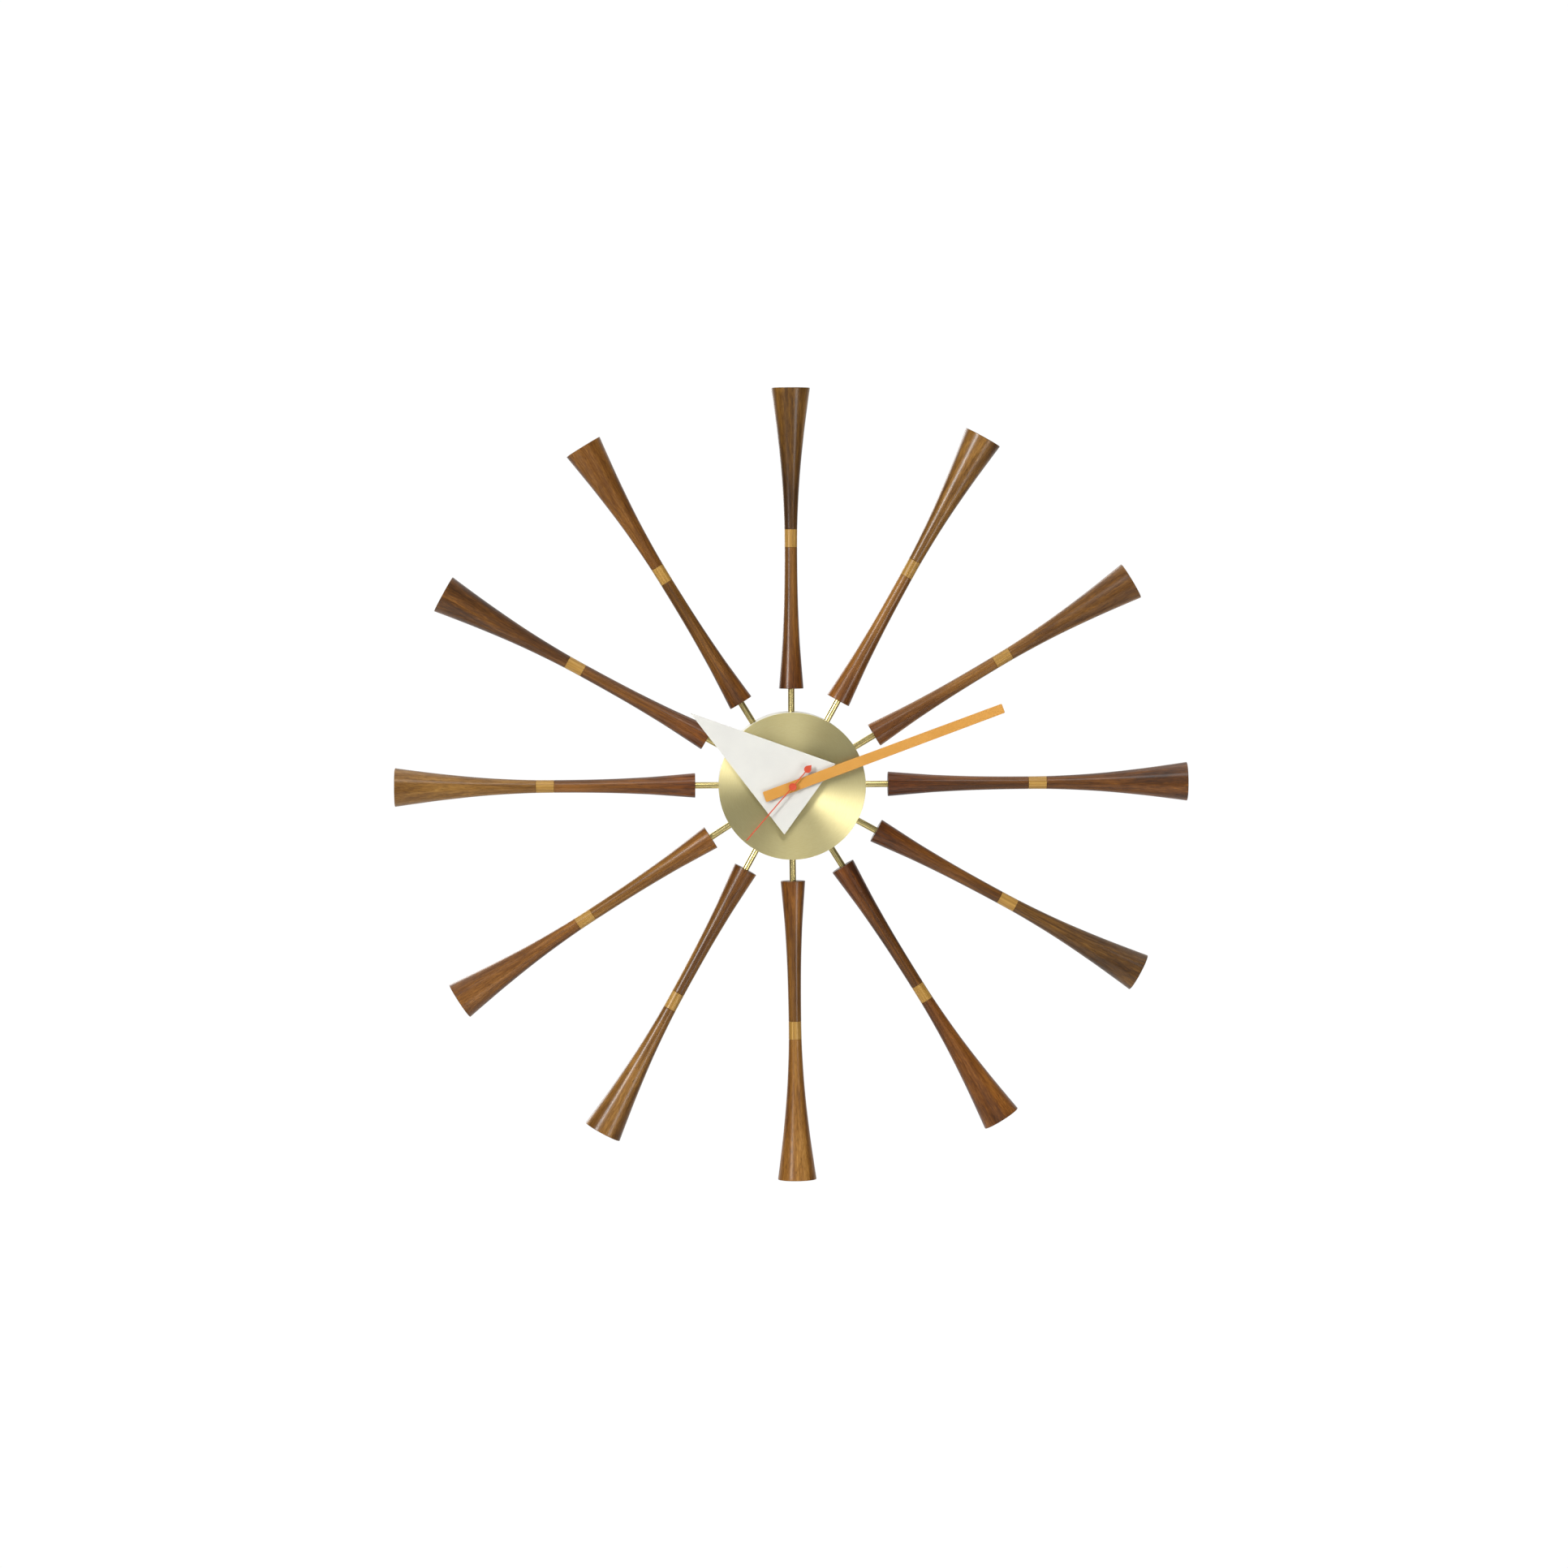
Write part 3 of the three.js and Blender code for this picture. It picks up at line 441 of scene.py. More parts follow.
# %% Paints
def paint(name, low, high, roughness, peel=0.03):
    material, tree, shader = mixed(name, {"Specular IOR Level": 0.45})
    here = object_space(tree)
    drift = grain(tree, here, (45, 45, 45), 3)
    skin = grain(tree, here, (1100, 1100, 1100), 2)
    tree.links.new(ramp(tree, drift, [(0.35, low), (0.65, high)]), shader.inputs["Base Color"])
    tree.links.new(
        spread(tree, skin, 0.3, 0.7, roughness - 0.05, roughness + 0.05),
        shader.inputs["Roughness"],
    )
    bumped(tree, shader, skin, peel, 0.3)
    return material


finishes["white_lacquer"] = paint("white_hub_paint", "d4d1c0", "dcd9ca", 0.35)
finishes["white_hand_lacquer"] = paint("white_hand_paint", "d4d3cd", "d9d8d1", 0.5)
finishes["ochre_hand_lacquer"] = paint("ochre_hand_paint", "cb8f38", "d09541", 0.55)
finishes["red_hand_lacquer"] = paint("red_hand_paint", "c74626", "cf502d", 0.5)
print("paints:", [m.name for k, m in finishes.items() if "lacquer" in k])

# %% [markdown]
# ## Metals and plastics of the works
#
# Behind the dial sits a small quartz movement with its battery. Its materials follow what
# they are made of: grained moulded plastic, bright pressed steel, turned aluminium, a
# copper winding, a green circuit board and a printed battery jacket without any lettering.

# %% Materials of the works
def moulded(name, low, high, roughness, pebble=700):
    """Moulded plastic or rubber: a fine pebbled skin and a faint drift of colour."""
    material, tree, shader = mixed(name)
    here = object_space(tree)
    pebbles = grain(tree, here, (pebble, pebble, pebble), 3, 0.6)
    drift = grain(tree, here, (50, 50, 50), 2)
    tree.links.new(ramp(tree, drift, [(0.3, low), (0.7, high)]), shader.inputs["Base Color"])
    tree.links.new(
        spread(tree, pebbles, 0.3, 0.7, roughness - 0.08, roughness + 0.08),
        shader.inputs["Roughness"],
    )
    bumped(tree, shader, pebbles, 0.05, 0.4)
    return material


def worked_metal(name, low, high, scale, roughness):
    """Metal with tool marks; scale squeezes the marks along the axes they cross."""
    material, tree, shader = mixed(name, {"Metallic": 1.0})
    here = object_space(tree)
    marks = grain(tree, here, scale, 3, 0.65)
    tree.links.new(ramp(tree, marks, [(0.3, low), (0.7, high)]), shader.inputs["Base Color"])
    tree.links.new(spread(tree, marks, 0.3, 0.7, *roughness), shader.inputs["Roughness"])
    bumped(tree, shader, marks, 0.01, 0.3)
    return material


finishes["black_plastic"] = moulded("black_moulding", "151517", "1f1f22", 0.5)
finishes["wheel_plastic"] = moulded("wheel_moulding", "dedac9", "ebe8dc", 0.42, 900)
finishes["rubber"] = moulded("rubber_washer", "1c1c1c", "272727", 0.85, 1300)
finishes["steel"] = worked_metal("pressed_steel", "a6a9ad", "c4c7ca", (900, 60, 900), (0.2, 0.34))
finishes["aluminium"] = worked_metal(
    "turned_aluminium", "bcc0c4", "d2d5d8", (60, 900, 60), (0.28, 0.42)
)
finishes["magnet"] = worked_metal(
    "sintered_magnet", "303034", "48484d", (900, 900, 900), (0.4, 0.6)
)
print("works:", len(finishes), "finishes so far")

# %% [markdown]
# ## Winding, board and jacket
#
# The coil is hundreds of turns of thin enamelled wire, so a band pattern across its length
# stands for the turns. The board is green solder mask with a web of paler tracks, from a
# cell pattern. The battery's jacket is blue with a gold end, and carries nothing printed.

# %% Winding, board and jacket
def winding():
    material, tree, shader = mixed("copper_winding", {"Metallic": 0.8})
    here = object_space(tree)
    turns = add(
        tree, "TexWave", {"Vector": here, "Scale": 1250.0, "Distortion": 0.6, "Detail": 1.0},
        bands_direction="X",
    ).outputs["Fac"]
    # The bands run from copper on each turn's crest to dark in the trough: the dark is painted
    # shade in the grooves between the turns.
    tree.links.new(ramp(tree, turns, [(0, "6b3018"), (1, "c8763f")]), shader.inputs["Base Color"])
    tree.links.new(spread(tree, turns, 0, 1, 0.45, 0.3), shader.inputs["Roughness"])
    bumped(tree, shader, turns, 0.08, 0.8)
    return material


def solder_mask():
    material, tree, shader = mixed("solder_mask", {"Coat Weight": 0.4, "Coat Roughness": 0.2})
    here = object_space(tree)
    cells = add(
        tree, "TexVoronoi", {"Vector": here, "Scale": 420.0},
        feature="DISTANCE_TO_EDGE", distance="CHEBYCHEV",
    ).outputs["Distance"]
    tracks = spread(tree, cells, 0.05, 0.09, 1, 0)
    tree.links.new(blended(tree, tracks, "174c30", "2c7a4d"), shader.inputs["Base Color"])
    tree.links.new(spread(tree, tracks, 0, 1, 0.5, 0.35), shader.inputs["Roughness"])
    bumped(tree, shader, tracks, 0.04, 0.6)
    return material


def jacket():
    material, tree, shader = mixed("battery_jacket", {"Coat Weight": 0.6, "Coat Roughness": 0.15})
    here = object_space(tree)
    along = add(tree, "SeparateXYZ", {0: here}).outputs["Z"]
    end = spread(tree, along, 0.0352, 0.0354)
    foil = grain(tree, here, (500, 500, 40), 2)
    blue = ramp(tree, foil, [(0.3, "24406b"), (0.7, "31548a")])
    gold = ramp(tree, foil, [(0.3, "b08a35"), (0.7, "cfa850")])
    tree.links.new(blended(tree, end, blue, gold), shader.inputs["Base Color"])
    tree.links.new(spread(tree, foil, 0.3, 0.7, 0.3, 0.42), shader.inputs["Roughness"])
    bumped(tree, shader, foil, 0.01, 0.3)
    return material


finishes["copper"] = winding()
finishes["board"] = solder_mask()
finishes["battery_jacket"] = jacket()

for part in frame["record"]["subparts"]:
    metal = finishes[part["material_slot"]]
    mesh = frame["nodes"][part["node"]].data
    mesh.materials.clear()
    mesh.materials.append(metal)

# %% [markdown]
# ## Turning on a lathe
#
# Most pieces of a clock are turned, so one helper sweeps a profile of [radius, height]
# points round local z. Corners stay sharp in the mesh, and a bevel modifier rounds only
# those sharper than thirty degrees. A weighted-normal modifier then keeps the flat
# faces flat next to their small rounded edges.

# %% Lathe helper
def piece_from(name, bm):
    """A new object in the scene from a bmesh, with smooth faces that point outwards."""
    bmesh.ops.recalc_face_normals(bm, faces=bm.faces)
    if bm.calc_volume(signed=True) < 0:
        bmesh.ops.reverse_faces(bm, faces=bm.faces)
    for face in bm.faces:
        face.smooth = True
    mesh = bpy.data.meshes.new(name)
    bm.to_mesh(mesh)
    bm.free()
    made = bpy.data.objects.new(name, mesh)
    scene.collection.objects.link(made)
    return made


def turned(name, profile, segments=96):
    """A turned piece from [radius, height] points in millimetres. It may end where it began."""
    bm = bmesh.new()
    rings = []
    for radius, height in profile:
        count = segments if radius > 0 else 1
        steps = [2 * math.pi * k / segments for k in range(count)]
        rings.append(
            [
                bm.verts.new((radius * MM * math.cos(a), radius * MM * math.sin(a), height * MM))
                for a in steps
            ]
        )
    if profile[0] == profile[-1] and profile[0][0] > 0:
        bmesh.ops.delete(bm, geom=rings[-1])
        rings[-1] = rings[0]
    for lower, upper in zip(rings, rings[1:]):
        for k in range(segments):
            n = (k + 1) % segments
            corners = [
                lower[k % len(lower)], lower[n % len(lower)],
                upper[n % len(upper)], upper[k % len(upper)],
            ]
            corners = list(dict.fromkeys(corners))
            if len(corners) > 2:
                bm.faces.new(corners)
    return piece_from(name, bm)


SHARP = math.radians(30)  # edges that turn by more than this are rounded


def bevelled(piece, width, segments=3):
    bevel = piece.modifiers.new("round", "BEVEL")
    bevel.width, bevel.segments = width * MM, segments
    bevel.limit_method, bevel.angle_limit = "ANGLE", SHARP
    return piece


def weigh(piece):
    """Lets the large faces set the shading, so that flats stay flat."""
    normals = piece.modifiers.new("flats", "WEIGHTED_NORMAL")
    normals.weight = 80
    return piece


def round_edges(piece, width=0.3, segments=3):
    """Rounds the sharp edges and keeps the flats flat."""
    return weigh(bevelled(piece, width, segments))


def dress(piece, finish, body, slot, *nodes, place=DIAL):
    """Places a piece, gives it its finish, hangs it on its body and hides the CAD nodes it stands
    for.
    """
    piece.matrix_world = place
    piece.data.materials.clear()
    piece.data.materials.append(finishes[finish])
    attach(piece, body)
    if nodes:
        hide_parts(*nodes)
    return piece


print("lathe ready")

# %% [markdown]
# ## The spindles
#
# A spindle is two slim cones that meet at a waist, with the pale ring let in there. The
# profile gives radii along the length, and a smooth curve through them stands for the
# turner's sweep. The three pieces of a spindle share that curve, so they are flush. Each
# half gets its own place in the plank, and its own tone and warmth, hour by hour.

# %% Spindle profile
SPINDLE_LENGTH = 218.1
SPINDLE_SWEEP = [
    (0, 8.98), (7, 8.4), (20, 7.35), (36, 6.2), (66, 5.0), (104, 4.6), (126, 5.0),
    (154, 6.6), (184, 9.6), (208, 12.7), (SPINDLE_LENGTH, 14.12),
]
RING_SPAN = (102.6, 115.6)  # the pale ring, measured from the inner end
ROD_BORE = (2.65, 25.3)  # radius and depth of the hole for the rod


def sweep_radius(along):
    """Radius of the spindle at a distance from its inner end, smooth through the sweep."""
    for i in range(len(SPINDLE_SWEEP) - 1):
        (a, ra), (b, rb) = SPINDLE_SWEEP[i], SPINDLE_SWEEP[i + 1]
        if along <= b:
            break
    before = SPINDLE_SWEEP[max(i - 1, 0)]
    after = SPINDLE_SWEEP[min(i + 2, len(SPINDLE_SWEEP) - 1)]
    slope_a = (rb - before[1]) / (b - before[0])
    slope_b = (after[1] - ra) / (after[0] - a)
    t = (along - a) / (b - a)
    span = b - a
    return (
        (2 * t**3 - 3 * t**2 + 1) * ra
        + (t**3 - 2 * t**2 + t) * span * slope_a
        + (3 * t**2 - 2 * t**3) * rb
        + (t**3 - t**2) * span * slope_b
    )


def swept(start, end, step=3.0):
    """Profile points from start to end along the spindle."""
    count = max(2, round((end - start) / step))
    stations = [start + (end - start) * k / count for k in range(count + 1)]
    return [(sweep_radius(s), s) for s in stations]


print("waist radius %.2f mm at %.0f mm" % min(swept(0, SPINDLE_LENGTH)))

# %% [markdown]
# A mesh attribute is a value kept on every vertex. Here *plank* is the vertex's own
# position, turned about the axis and shifted to some other place in the board. The seed
# numbers come from the hour, so the grain is the same in every run. *tone* and *warmth*
# hold one value over a piece, except that an inner half grows darker and redder towards
# the hub.

# %% Spindles
# inner half (tone, warmth), outer half (tone, warmth), one to twelve o'clock
WOOD_TONES = [
    ((0.60, 0.35), (0.44, 0.20)),
    ((0.72, 0.30), (0.42, 0.30)),
    ((0.12, 0.50), (0.15, 0.55)),
    ((0.18, 0.40), (0.20, 0.10)),
    ((0.12, 0.40), (0.28, 0.65)),
    ((0.42, 0.30), (0.80, 0.35)),
    ((0.60, 0.20), (0.46, 0.25)),
    ((0.70, 0.20), (0.48, 0.50)),
    ((0.28, 0.50), (0.60, 0.15)),
    ((0.30, 0.45), (0.18, 0.40)),
    ((0.34, 0.25), (0.46, 0.45)),
    ((0.22, 0.30), (0.22, 0.10)),
]


def cut_from_plank(piece, seed, tone, warmth, toward_hub=0.0):
    """Says where in the board a piece was cut. toward_hub darkens and reddens its inner end."""
    mesh = piece.data
    length = max(v.co.z for v in mesh.vertices)
    inward = [toward_hub * (1 - v.co.z / length) ** 2 for v in mesh.vertices]
    spun = Matrix.Rotation(2.4 * seed, 3, "Z")
    shift = Vector((0.11 * seed, 0.07 * seed, 0.53 * seed))
    values = {
        "plank": (
            "FLOAT_VECTOR", "vector", [c for v in mesh.vertices for c in spun @ v.co + shift],
        ),
        "tone": ("FLOAT", "value", [max(tone - share / 2, 0) for share in inward]),
        "warmth": ("FLOAT", "value", [min(warmth + share, 1) for share in inward]),
    }
    for name, (kind, field, numbers) in values.items():
        mesh.attributes.new(name, kind, "POINT").data.foreach_set(field, numbers)
    return piece


bore_radius, bore_depth = ROD_BORE
inner_profile = [(0, bore_depth), (bore_radius, bore_depth), (bore_radius, 0)]
inner_profile += swept(0, RING_SPAN[0]) + [(0, RING_SPAN[0])]
ring_profile = [(0, RING_SPAN[0])] + swept(*RING_SPAN) + [(0, RING_SPAN[1])]
outer_profile = [(0, RING_SPAN[1])] + swept(RING_SPAN[1], SPINDLE_LENGTH) + [(0, SPINDLE_LENGTH)]

ALONG_Y = Matrix.Rotation(math.radians(-90), 4, "X")
ROD_HEIGHT = middle("rod_3").z


def at_hour(node, along=0.0):
    """Local z along a spindle or rod, starting at a distance from the hands' axis."""
    aimed = Matrix.Rotation(-math.radians(points_to(node)), 4, "Z")
    return lifted(z=ROD_HEIGHT) @ aimed @ ALONG_Y @ Matrix.Translation((0, 0, along * MM))


top_spindle = frame["nodes"]["spindle_12"].data
tip_radius = max(Vector((v.co.x, v.co.z)).length for v in top_spindle.vertices)
INNER_END = tip_radius / MM - SPINDLE_LENGTH
REDDENING = 0.35  # how far an inner half darkens and reddens at the hub
for hour, (inner_wood, outer_wood) in enumerate(WOOD_TONES, 1):
    node = f"spindle_{hour}"
    place = at_hour(node, INNER_END)
    parts = [
        ("inner", inner_profile, "walnut", (*inner_wood, REDDENING), 0.45),
        ("ring", ring_profile, "pale_ring", (0.5, 0.5), 0.08),
        ("outer", outer_profile, "walnut", outer_wood, 0.45),
    ]
    for k, (part_name, profile, finish, wood, rounding) in enumerate(parts):
        piece = turned(f"spindle_{hour}_{part_name}", profile, 64)
        cut_from_plank(piece, 3 * hour + k, *wood)
        round_edges(piece, rounding)
        dress(piece, finish, "clock", "walnut", node, place=place)
print("spindles start %.1f mm from the axis, rods %.1f mm off the wall" % (INNER_END, ROD_HEIGHT))

# %% [markdown]
# ## The rods
#
# Each rod is plain drawn brass with rounded ends, from the ring inside the hub to the
# bottom of the spindle's bore. Only a hand's width of it shows.

# %% Rods
for hour in range(1, 13):
    node = f"rod_{hour}"
    ends = [Vector((v.co.x, v.co.z)).length / MM for v in frame["nodes"][node].data.vertices]
    low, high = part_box(node)
    radius = (high.y - low.y) / 2 / MM
    start, end = min(ends), max(ends)
    profile = [(0, start), (radius, start), (radius, end), (0, end)]
    dress(
        round_edges(turned(f"rod_{hour}_drawn", profile, 48), 0.5),
        "polished_brass", "clock", "polished_brass", node, place=at_hour(node),
    )
print("rods: radius %.2f mm, from %.0f to %.0f mm" % (radius, start, end))

# %% [markdown]
# ## The hub
#
# The hub is a spun drum with a flat front, and twelve drilled holes let the rods in. The
# drum is turned like the rest. The holes are cut with one boolean against a star of
# twelve round bars, which is simpler than building them into the mesh.

# %% Hub drum
def joined(name, pieces):
    """One object from several meshes that share a frame."""
    bm = bmesh.new()
    for piece in pieces:
        shape = piece.data.copy()
        shape.transform(piece.matrix_world)
        bm.from_mesh(shape)
        bpy.data.meshes.remove(shape)
        bpy.data.objects.remove(piece)
    return piece_from(name, bm)


SLIVER = 1e-6  # metres: edges shorter than this go


def carved(piece, cutter):
    """Cuts one mesh out of another, with every modifier so far applied, and drops slivers."""
    boolean = piece.modifiers.new("cut", "BOOLEAN")
    boolean.object = cutter
    boolean.solver = "EXACT"
    bpy.context.view_layer.update()
    view = bpy.context.evaluated_depsgraph_get()
    shape = bpy.data.meshes.new_from_object(piece.evaluated_get(view))
    cleaned = bmesh.new()
    cleaned.from_mesh(shape)
    bmesh.ops.dissolve_degenerate(cleaned, dist=SLIVER, edges=cleaned.edges)
    cleaned.to_mesh(shape)
    cleaned.free()
    piece.modifiers.clear()
    piece.data = shape
    bpy.data.objects.remove(cutter)
    return piece


hub_radius, hub_back, hub_front = reach("hub_housing")
HUB_WALL = 1.5
BUSH_HOLE = 4.25
drum = turned(
    "hub_drum",
    [
        (hub_radius - HUB_WALL, hub_back), (hub_radius, hub_back), (hub_radius, hub_front),
        (BUSH_HOLE, hub_front), (BUSH_HOLE, hub_front - HUB_WALL),
        (hub_radius - HUB_WALL, hub_front - HUB_WALL), (hub_radius - HUB_WALL, hub_back),
    ],
    144,
)
bevelled(drum, 0.6)
DRILL_FROM, DRILL_TO = 40, 60  # the bars pass through the wall between these radii
bar_profile = [
    (0, DRILL_FROM), (bore_radius, DRILL_FROM), (bore_radius, DRILL_TO), (0, DRILL_TO),
]
bars = []
for hour in range(1, 13):
    bar = turned(f"bar_{hour}", bar_profile, 32)
    bar.matrix_world = DIAL.inverted() @ at_hour(f"rod_{hour}")
    bars.append(bar)
bpy.context.view_layer.update()
dress(
    weigh(carved(drum, joined("drill_star", bars))),
    "white_lacquer", "clock", "white_lacquer", "hub_housing",
)
print("hub: radius %.1f, depth %.1f mm" % (hub_radius, hub_front - hub_back))

# %% [markdown]
# ## The dial
#
# The dial is a plain brass disc that caps the drum, without any numerals. All its interest
# is the brushed finish, so the mesh only needs a fine edge and a round hole for the bush.
# A washer and a thin nut hold it down, half hidden below the hour hand.

# %% Dial and washers
def ring_of(name, node, inner, segments, rounding):
    """A flat turned ring that stands where a CAD node stands."""
    radius, back, front = reach(node)
    profile = [(inner, back), (radius, back), (radius, front), (inner, front), (inner, back)]
    return round_edges(turned(name, profile, segments), rounding)


for name, node, finish, segments, rounding in (
    ("dial_disc", "brass_dial", "turned_brass", 192, 0.3),
    ("dial_washer_turned", "dial_washer", "turned_brass", 64, 0.2),
    ("rubber_washer_turned", "rubber_washer", "rubber", 64, 0.2),
):
    ring = ring_of(name, node, BUSH_HOLE, segments, rounding)
    dress(ring, finish, "clock", finish, node)
print("dial disc made")

# %% [markdown]
# ## Cutting from sheet
#
# Hands, plates and wheels are sheet work: a flat outline with holes, and a softened edge.
# The helper draws each outline as a stack of loops. The loops step in by a quarter circle
# towards both faces, and a triangle fill closes the faces round any holes. Outer outlines
# run anticlockwise and holes clockwise, so the metal is always on the left.

# %% Sheet helper
def circle(x, y, radius, count=64, hole=False):
    turn_way = -1 if hole else 1
    angles = [turn_way * 2 * math.pi * k / count for k in range(count)]
    return [Vector((x + radius * math.cos(a), y + radius * math.sin(a))) for a in angles]


def arc(x, y, radius, start, end, count=12):
    """Points on an arc between two angles in degrees, both ends included."""
    angles = [math.radians(start + (end - start) * k / count) for k in range(count + 1)]
    return [Vector((x + radius * math.cos(a), y + radius * math.sin(a))) for a in angles]


def rounded(x0, y0, x1, y1, radius, hole=False):
    """A rectangle with rounded corners."""
    corners = (
        (x1 - radius, y0 + radius), (x1 - radius, y1 - radius),
        (x0 + radius, y1 - radius), (x0 + radius, y0 + radius),
    )
    loop = []
    for k, (x, y) in enumerate(corners):
        loop += arc(x, y, radius, 90 * k - 90, 90 * k, 6)
    return loop[::-1] if hole else loop


def stepped_in(loop, distance):
    """The loop moved into the metal on its left."""
    moved = []
    for before, here, after in zip(loop[-1:] + loop[:-1], loop, loop[1:] + loop[:1]):
        a, b = (here - before).normalized(), (after - here).normalized()
        both = Vector((-a.y - b.y, a.x + b.x))
        moved.append(here + both * (2 * distance / max(both.length_squared, 0.05)))
    return moved


def sheet_cut(name, loops, back, front, edge=0.2, steps=3):
    """A flat piece between two heights, in millimetres, with rounded edges."""
    quarter = [math.pi / 2 * k / steps for k in range(steps + 1)]
    lower = [(edge * (1 - math.sin(t)), back + edge * (1 - math.cos(t))) for t in quarter]
    levels = lower + [(inset, back + front - height) for inset, height in reversed(lower)]
    bm = bmesh.new()
    rims = ([], [])
    for loop in loops:
        rings = [
            [bm.verts.new((p.x * MM, p.y * MM, z * MM)) for p in stepped_in(loop, inset)]
            for inset, z in levels
        ]
        count = len(loop)
        for low_ring, high_ring in zip(rings, rings[1:]):
            for k in range(count):
                n = (k + 1) % count
                bm.faces.new((low_ring[k], low_ring[n], high_ring[n], high_ring[k]))
        for rim, ring in zip(rims, (rings[0], rings[-1])):
            rim += [bm.edges.get((ring[k], ring[(k + 1) % count])) for k in range(count)]
    for rim in rims:
        bmesh.ops.triangle_fill(bm, use_beauty=True, use_dissolve=False, edges=rim)
    return piece_from(name, bm)


print("sheet helper ready")

# %% [markdown]
# ## The hands
#
# The hour hand is a long white triangle, with its tip as the pointer and its broad end
# past the axis. The minute hand is a narrow ochre bar, and the second hand a thin red
# needle with a drop as its counterweight. Each hand stands on its own pipe, with a
# short collet below the sheet.

# %% Hour and minute hands
def pointing(node):
    return DIAL @ Matrix.Rotation(-math.radians(points_to(node)), 4, "Z")


def with_collet(name, loops, node, plate_depth, collet, pipe, edge):
    """A hand from its sheet outline, and the collet that holds it on its pipe."""
    _, back, front = reach(node)
    plate_back = front - plate_depth
    blade = weigh(sheet_cut(name, loops, plate_back, front, edge))
    top = plate_back + 0.1
    profile = [(pipe, back), (collet, back), (collet, top), (pipe, top), (pipe, back)]
    holder = turned(name + "_collet", profile, 48)
    return weigh(joined(name, [blade, holder]))


hour_loops = [
    [Vector(p) for p in ((0, 91.2), (-31.5, -15.5), (31.5, -15.5))],
    circle(0, 0, 2.8, 48, hole=True),
]
dress(
    with_collet("hour_hand_triangle", hour_loops, "hour_hand", 1.0, 4.5, 2.8, 0.16),
    "white_hand_lacquer", "hour_hand", "white_hand_lacquer", "hour_hand",
    place=pointing("hour_hand"),
)
TIP, TIP_HALF, TAIL, TAIL_HALF, CORNER = 162.3, 3.5, -21.7, 3.875, 0.8
minute_loops = [
    arc(TAIL_HALF - CORNER, TAIL + CORNER, CORNER, -90, 0, 5)
    + arc(TIP_HALF - CORNER, TIP - CORNER, CORNER, 0, 90, 5)
    + arc(CORNER - TIP_HALF, TIP - CORNER, CORNER, 90, 180, 5)
    + arc(CORNER - TAIL_HALF, TAIL + CORNER, CORNER, 180, 270, 5),
    circle(0, 0, 1.85, 48, hole=True),
]
dress(
    with_collet("minute_hand_bar", minute_loops, "minute_hand", 1.0, 3.2, 1.85, 0.2),
    "ochre_hand_lacquer", "minute_hand", "ochre_hand_lacquer", "minute_hand",
    place=pointing("minute_hand"),
)
print("hour and minute hands made")

# %% [markdown]
# The needle and its drop are one outline. The needle runs straight from its tip past the
# axis, swells round the boss, and ends in a drop that comes to a point. Half of it is
# drawn from the tip down the right side, and the mirror image closes it.

# %% Second hand
POINTER, NEEDLE_HALF, BOSS = 50.9, 0.4, 1.9
DROP_AT, DROP_RADIUS, DROP_POINT = -16.6, 2.6, -20.8
DROP_SHOULDER = -38  # degrees, where the round of the drop runs into its point


def mirrored(right):
    """A closed anticlockwise loop from its right side, given from the top down."""
    left = [Vector((-p.x, p.y)) for p in right if p.x > 1e-6]
    return right[::-1] + left


boss_meet = math.degrees(math.asin(NEEDLE_HALF / BOSS))
drop_meet = math.degrees(math.asin(NEEDLE_HALF / DROP_RADIUS))
right_side = (
    [Vector((NEEDLE_HALF, POINTER))]
    + arc(0, 0, BOSS, 90 - boss_meet, boss_meet - 90, 14)
    + arc(0, DROP_AT, DROP_RADIUS, 90 - drop_meet, DROP_SHOULDER, 12)
    + [Vector((0, DROP_POINT))]
)
second_loops = [mirrored(right_side), circle(0, 0, 0.8, 32, hole=True)]
dress(
    with_collet("second_hand_needle", second_loops, "second_hand", 0.6, 1.3, 0.8, 0.1),
    "red_hand_lacquer", "second_hand", "red_hand_lacquer", "second_hand",
    place=pointing("second_hand"),
)
cap_radius, cap_back, cap_front = reach("second_hand_cap")
cap = turned(
    "second_hand_button",
    [
        (0, cap_back), (cap_radius, cap_back), (cap_radius, cap_front),
        (cap_radius - 0.7, cap_front), (cap_radius - 0.9, cap_front - 0.3), (0, cap_front - 0.2),
    ],
    64,
)
dress(
    round_edges(cap, 0.15), "red_hand_lacquer", "second_hand", "red_hand_lacquer", "second_hand_cap"
)
print("second hand made")

# %% [markdown]
# ## The nut
#
# A thin hexagon nut on the threaded bush holds the dial and the movement together.

# %% Nut
_, nut_back, nut_front = reach("hex_nut")
low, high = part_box("hex_nut")
nut_corner = (high.x - low.x) / 2 / MM
flats = [math.radians(60 * k) for k in range(6)]
nut_loops = [
    [nut_corner * Vector((math.cos(a), math.sin(a))) for a in flats],
    circle(0, 0, BUSH_HOLE, 48, hole=True),
]
dress(
    weigh(sheet_cut("hexagon_nut", nut_loops, nut_back, nut_front, 0.3)),
    "polished_brass", "clock", "polished_brass", "hex_nut",
)
print("nut: %.1f mm over its corners" % (2 * nut_corner))

# %% [markdown]
# ## The back
#
# A pressed plate closes the back of the drum. It has a keyhole for a wall screw, a window
# for the battery and a hole for the setting knob, and three countersunk screws hold it.

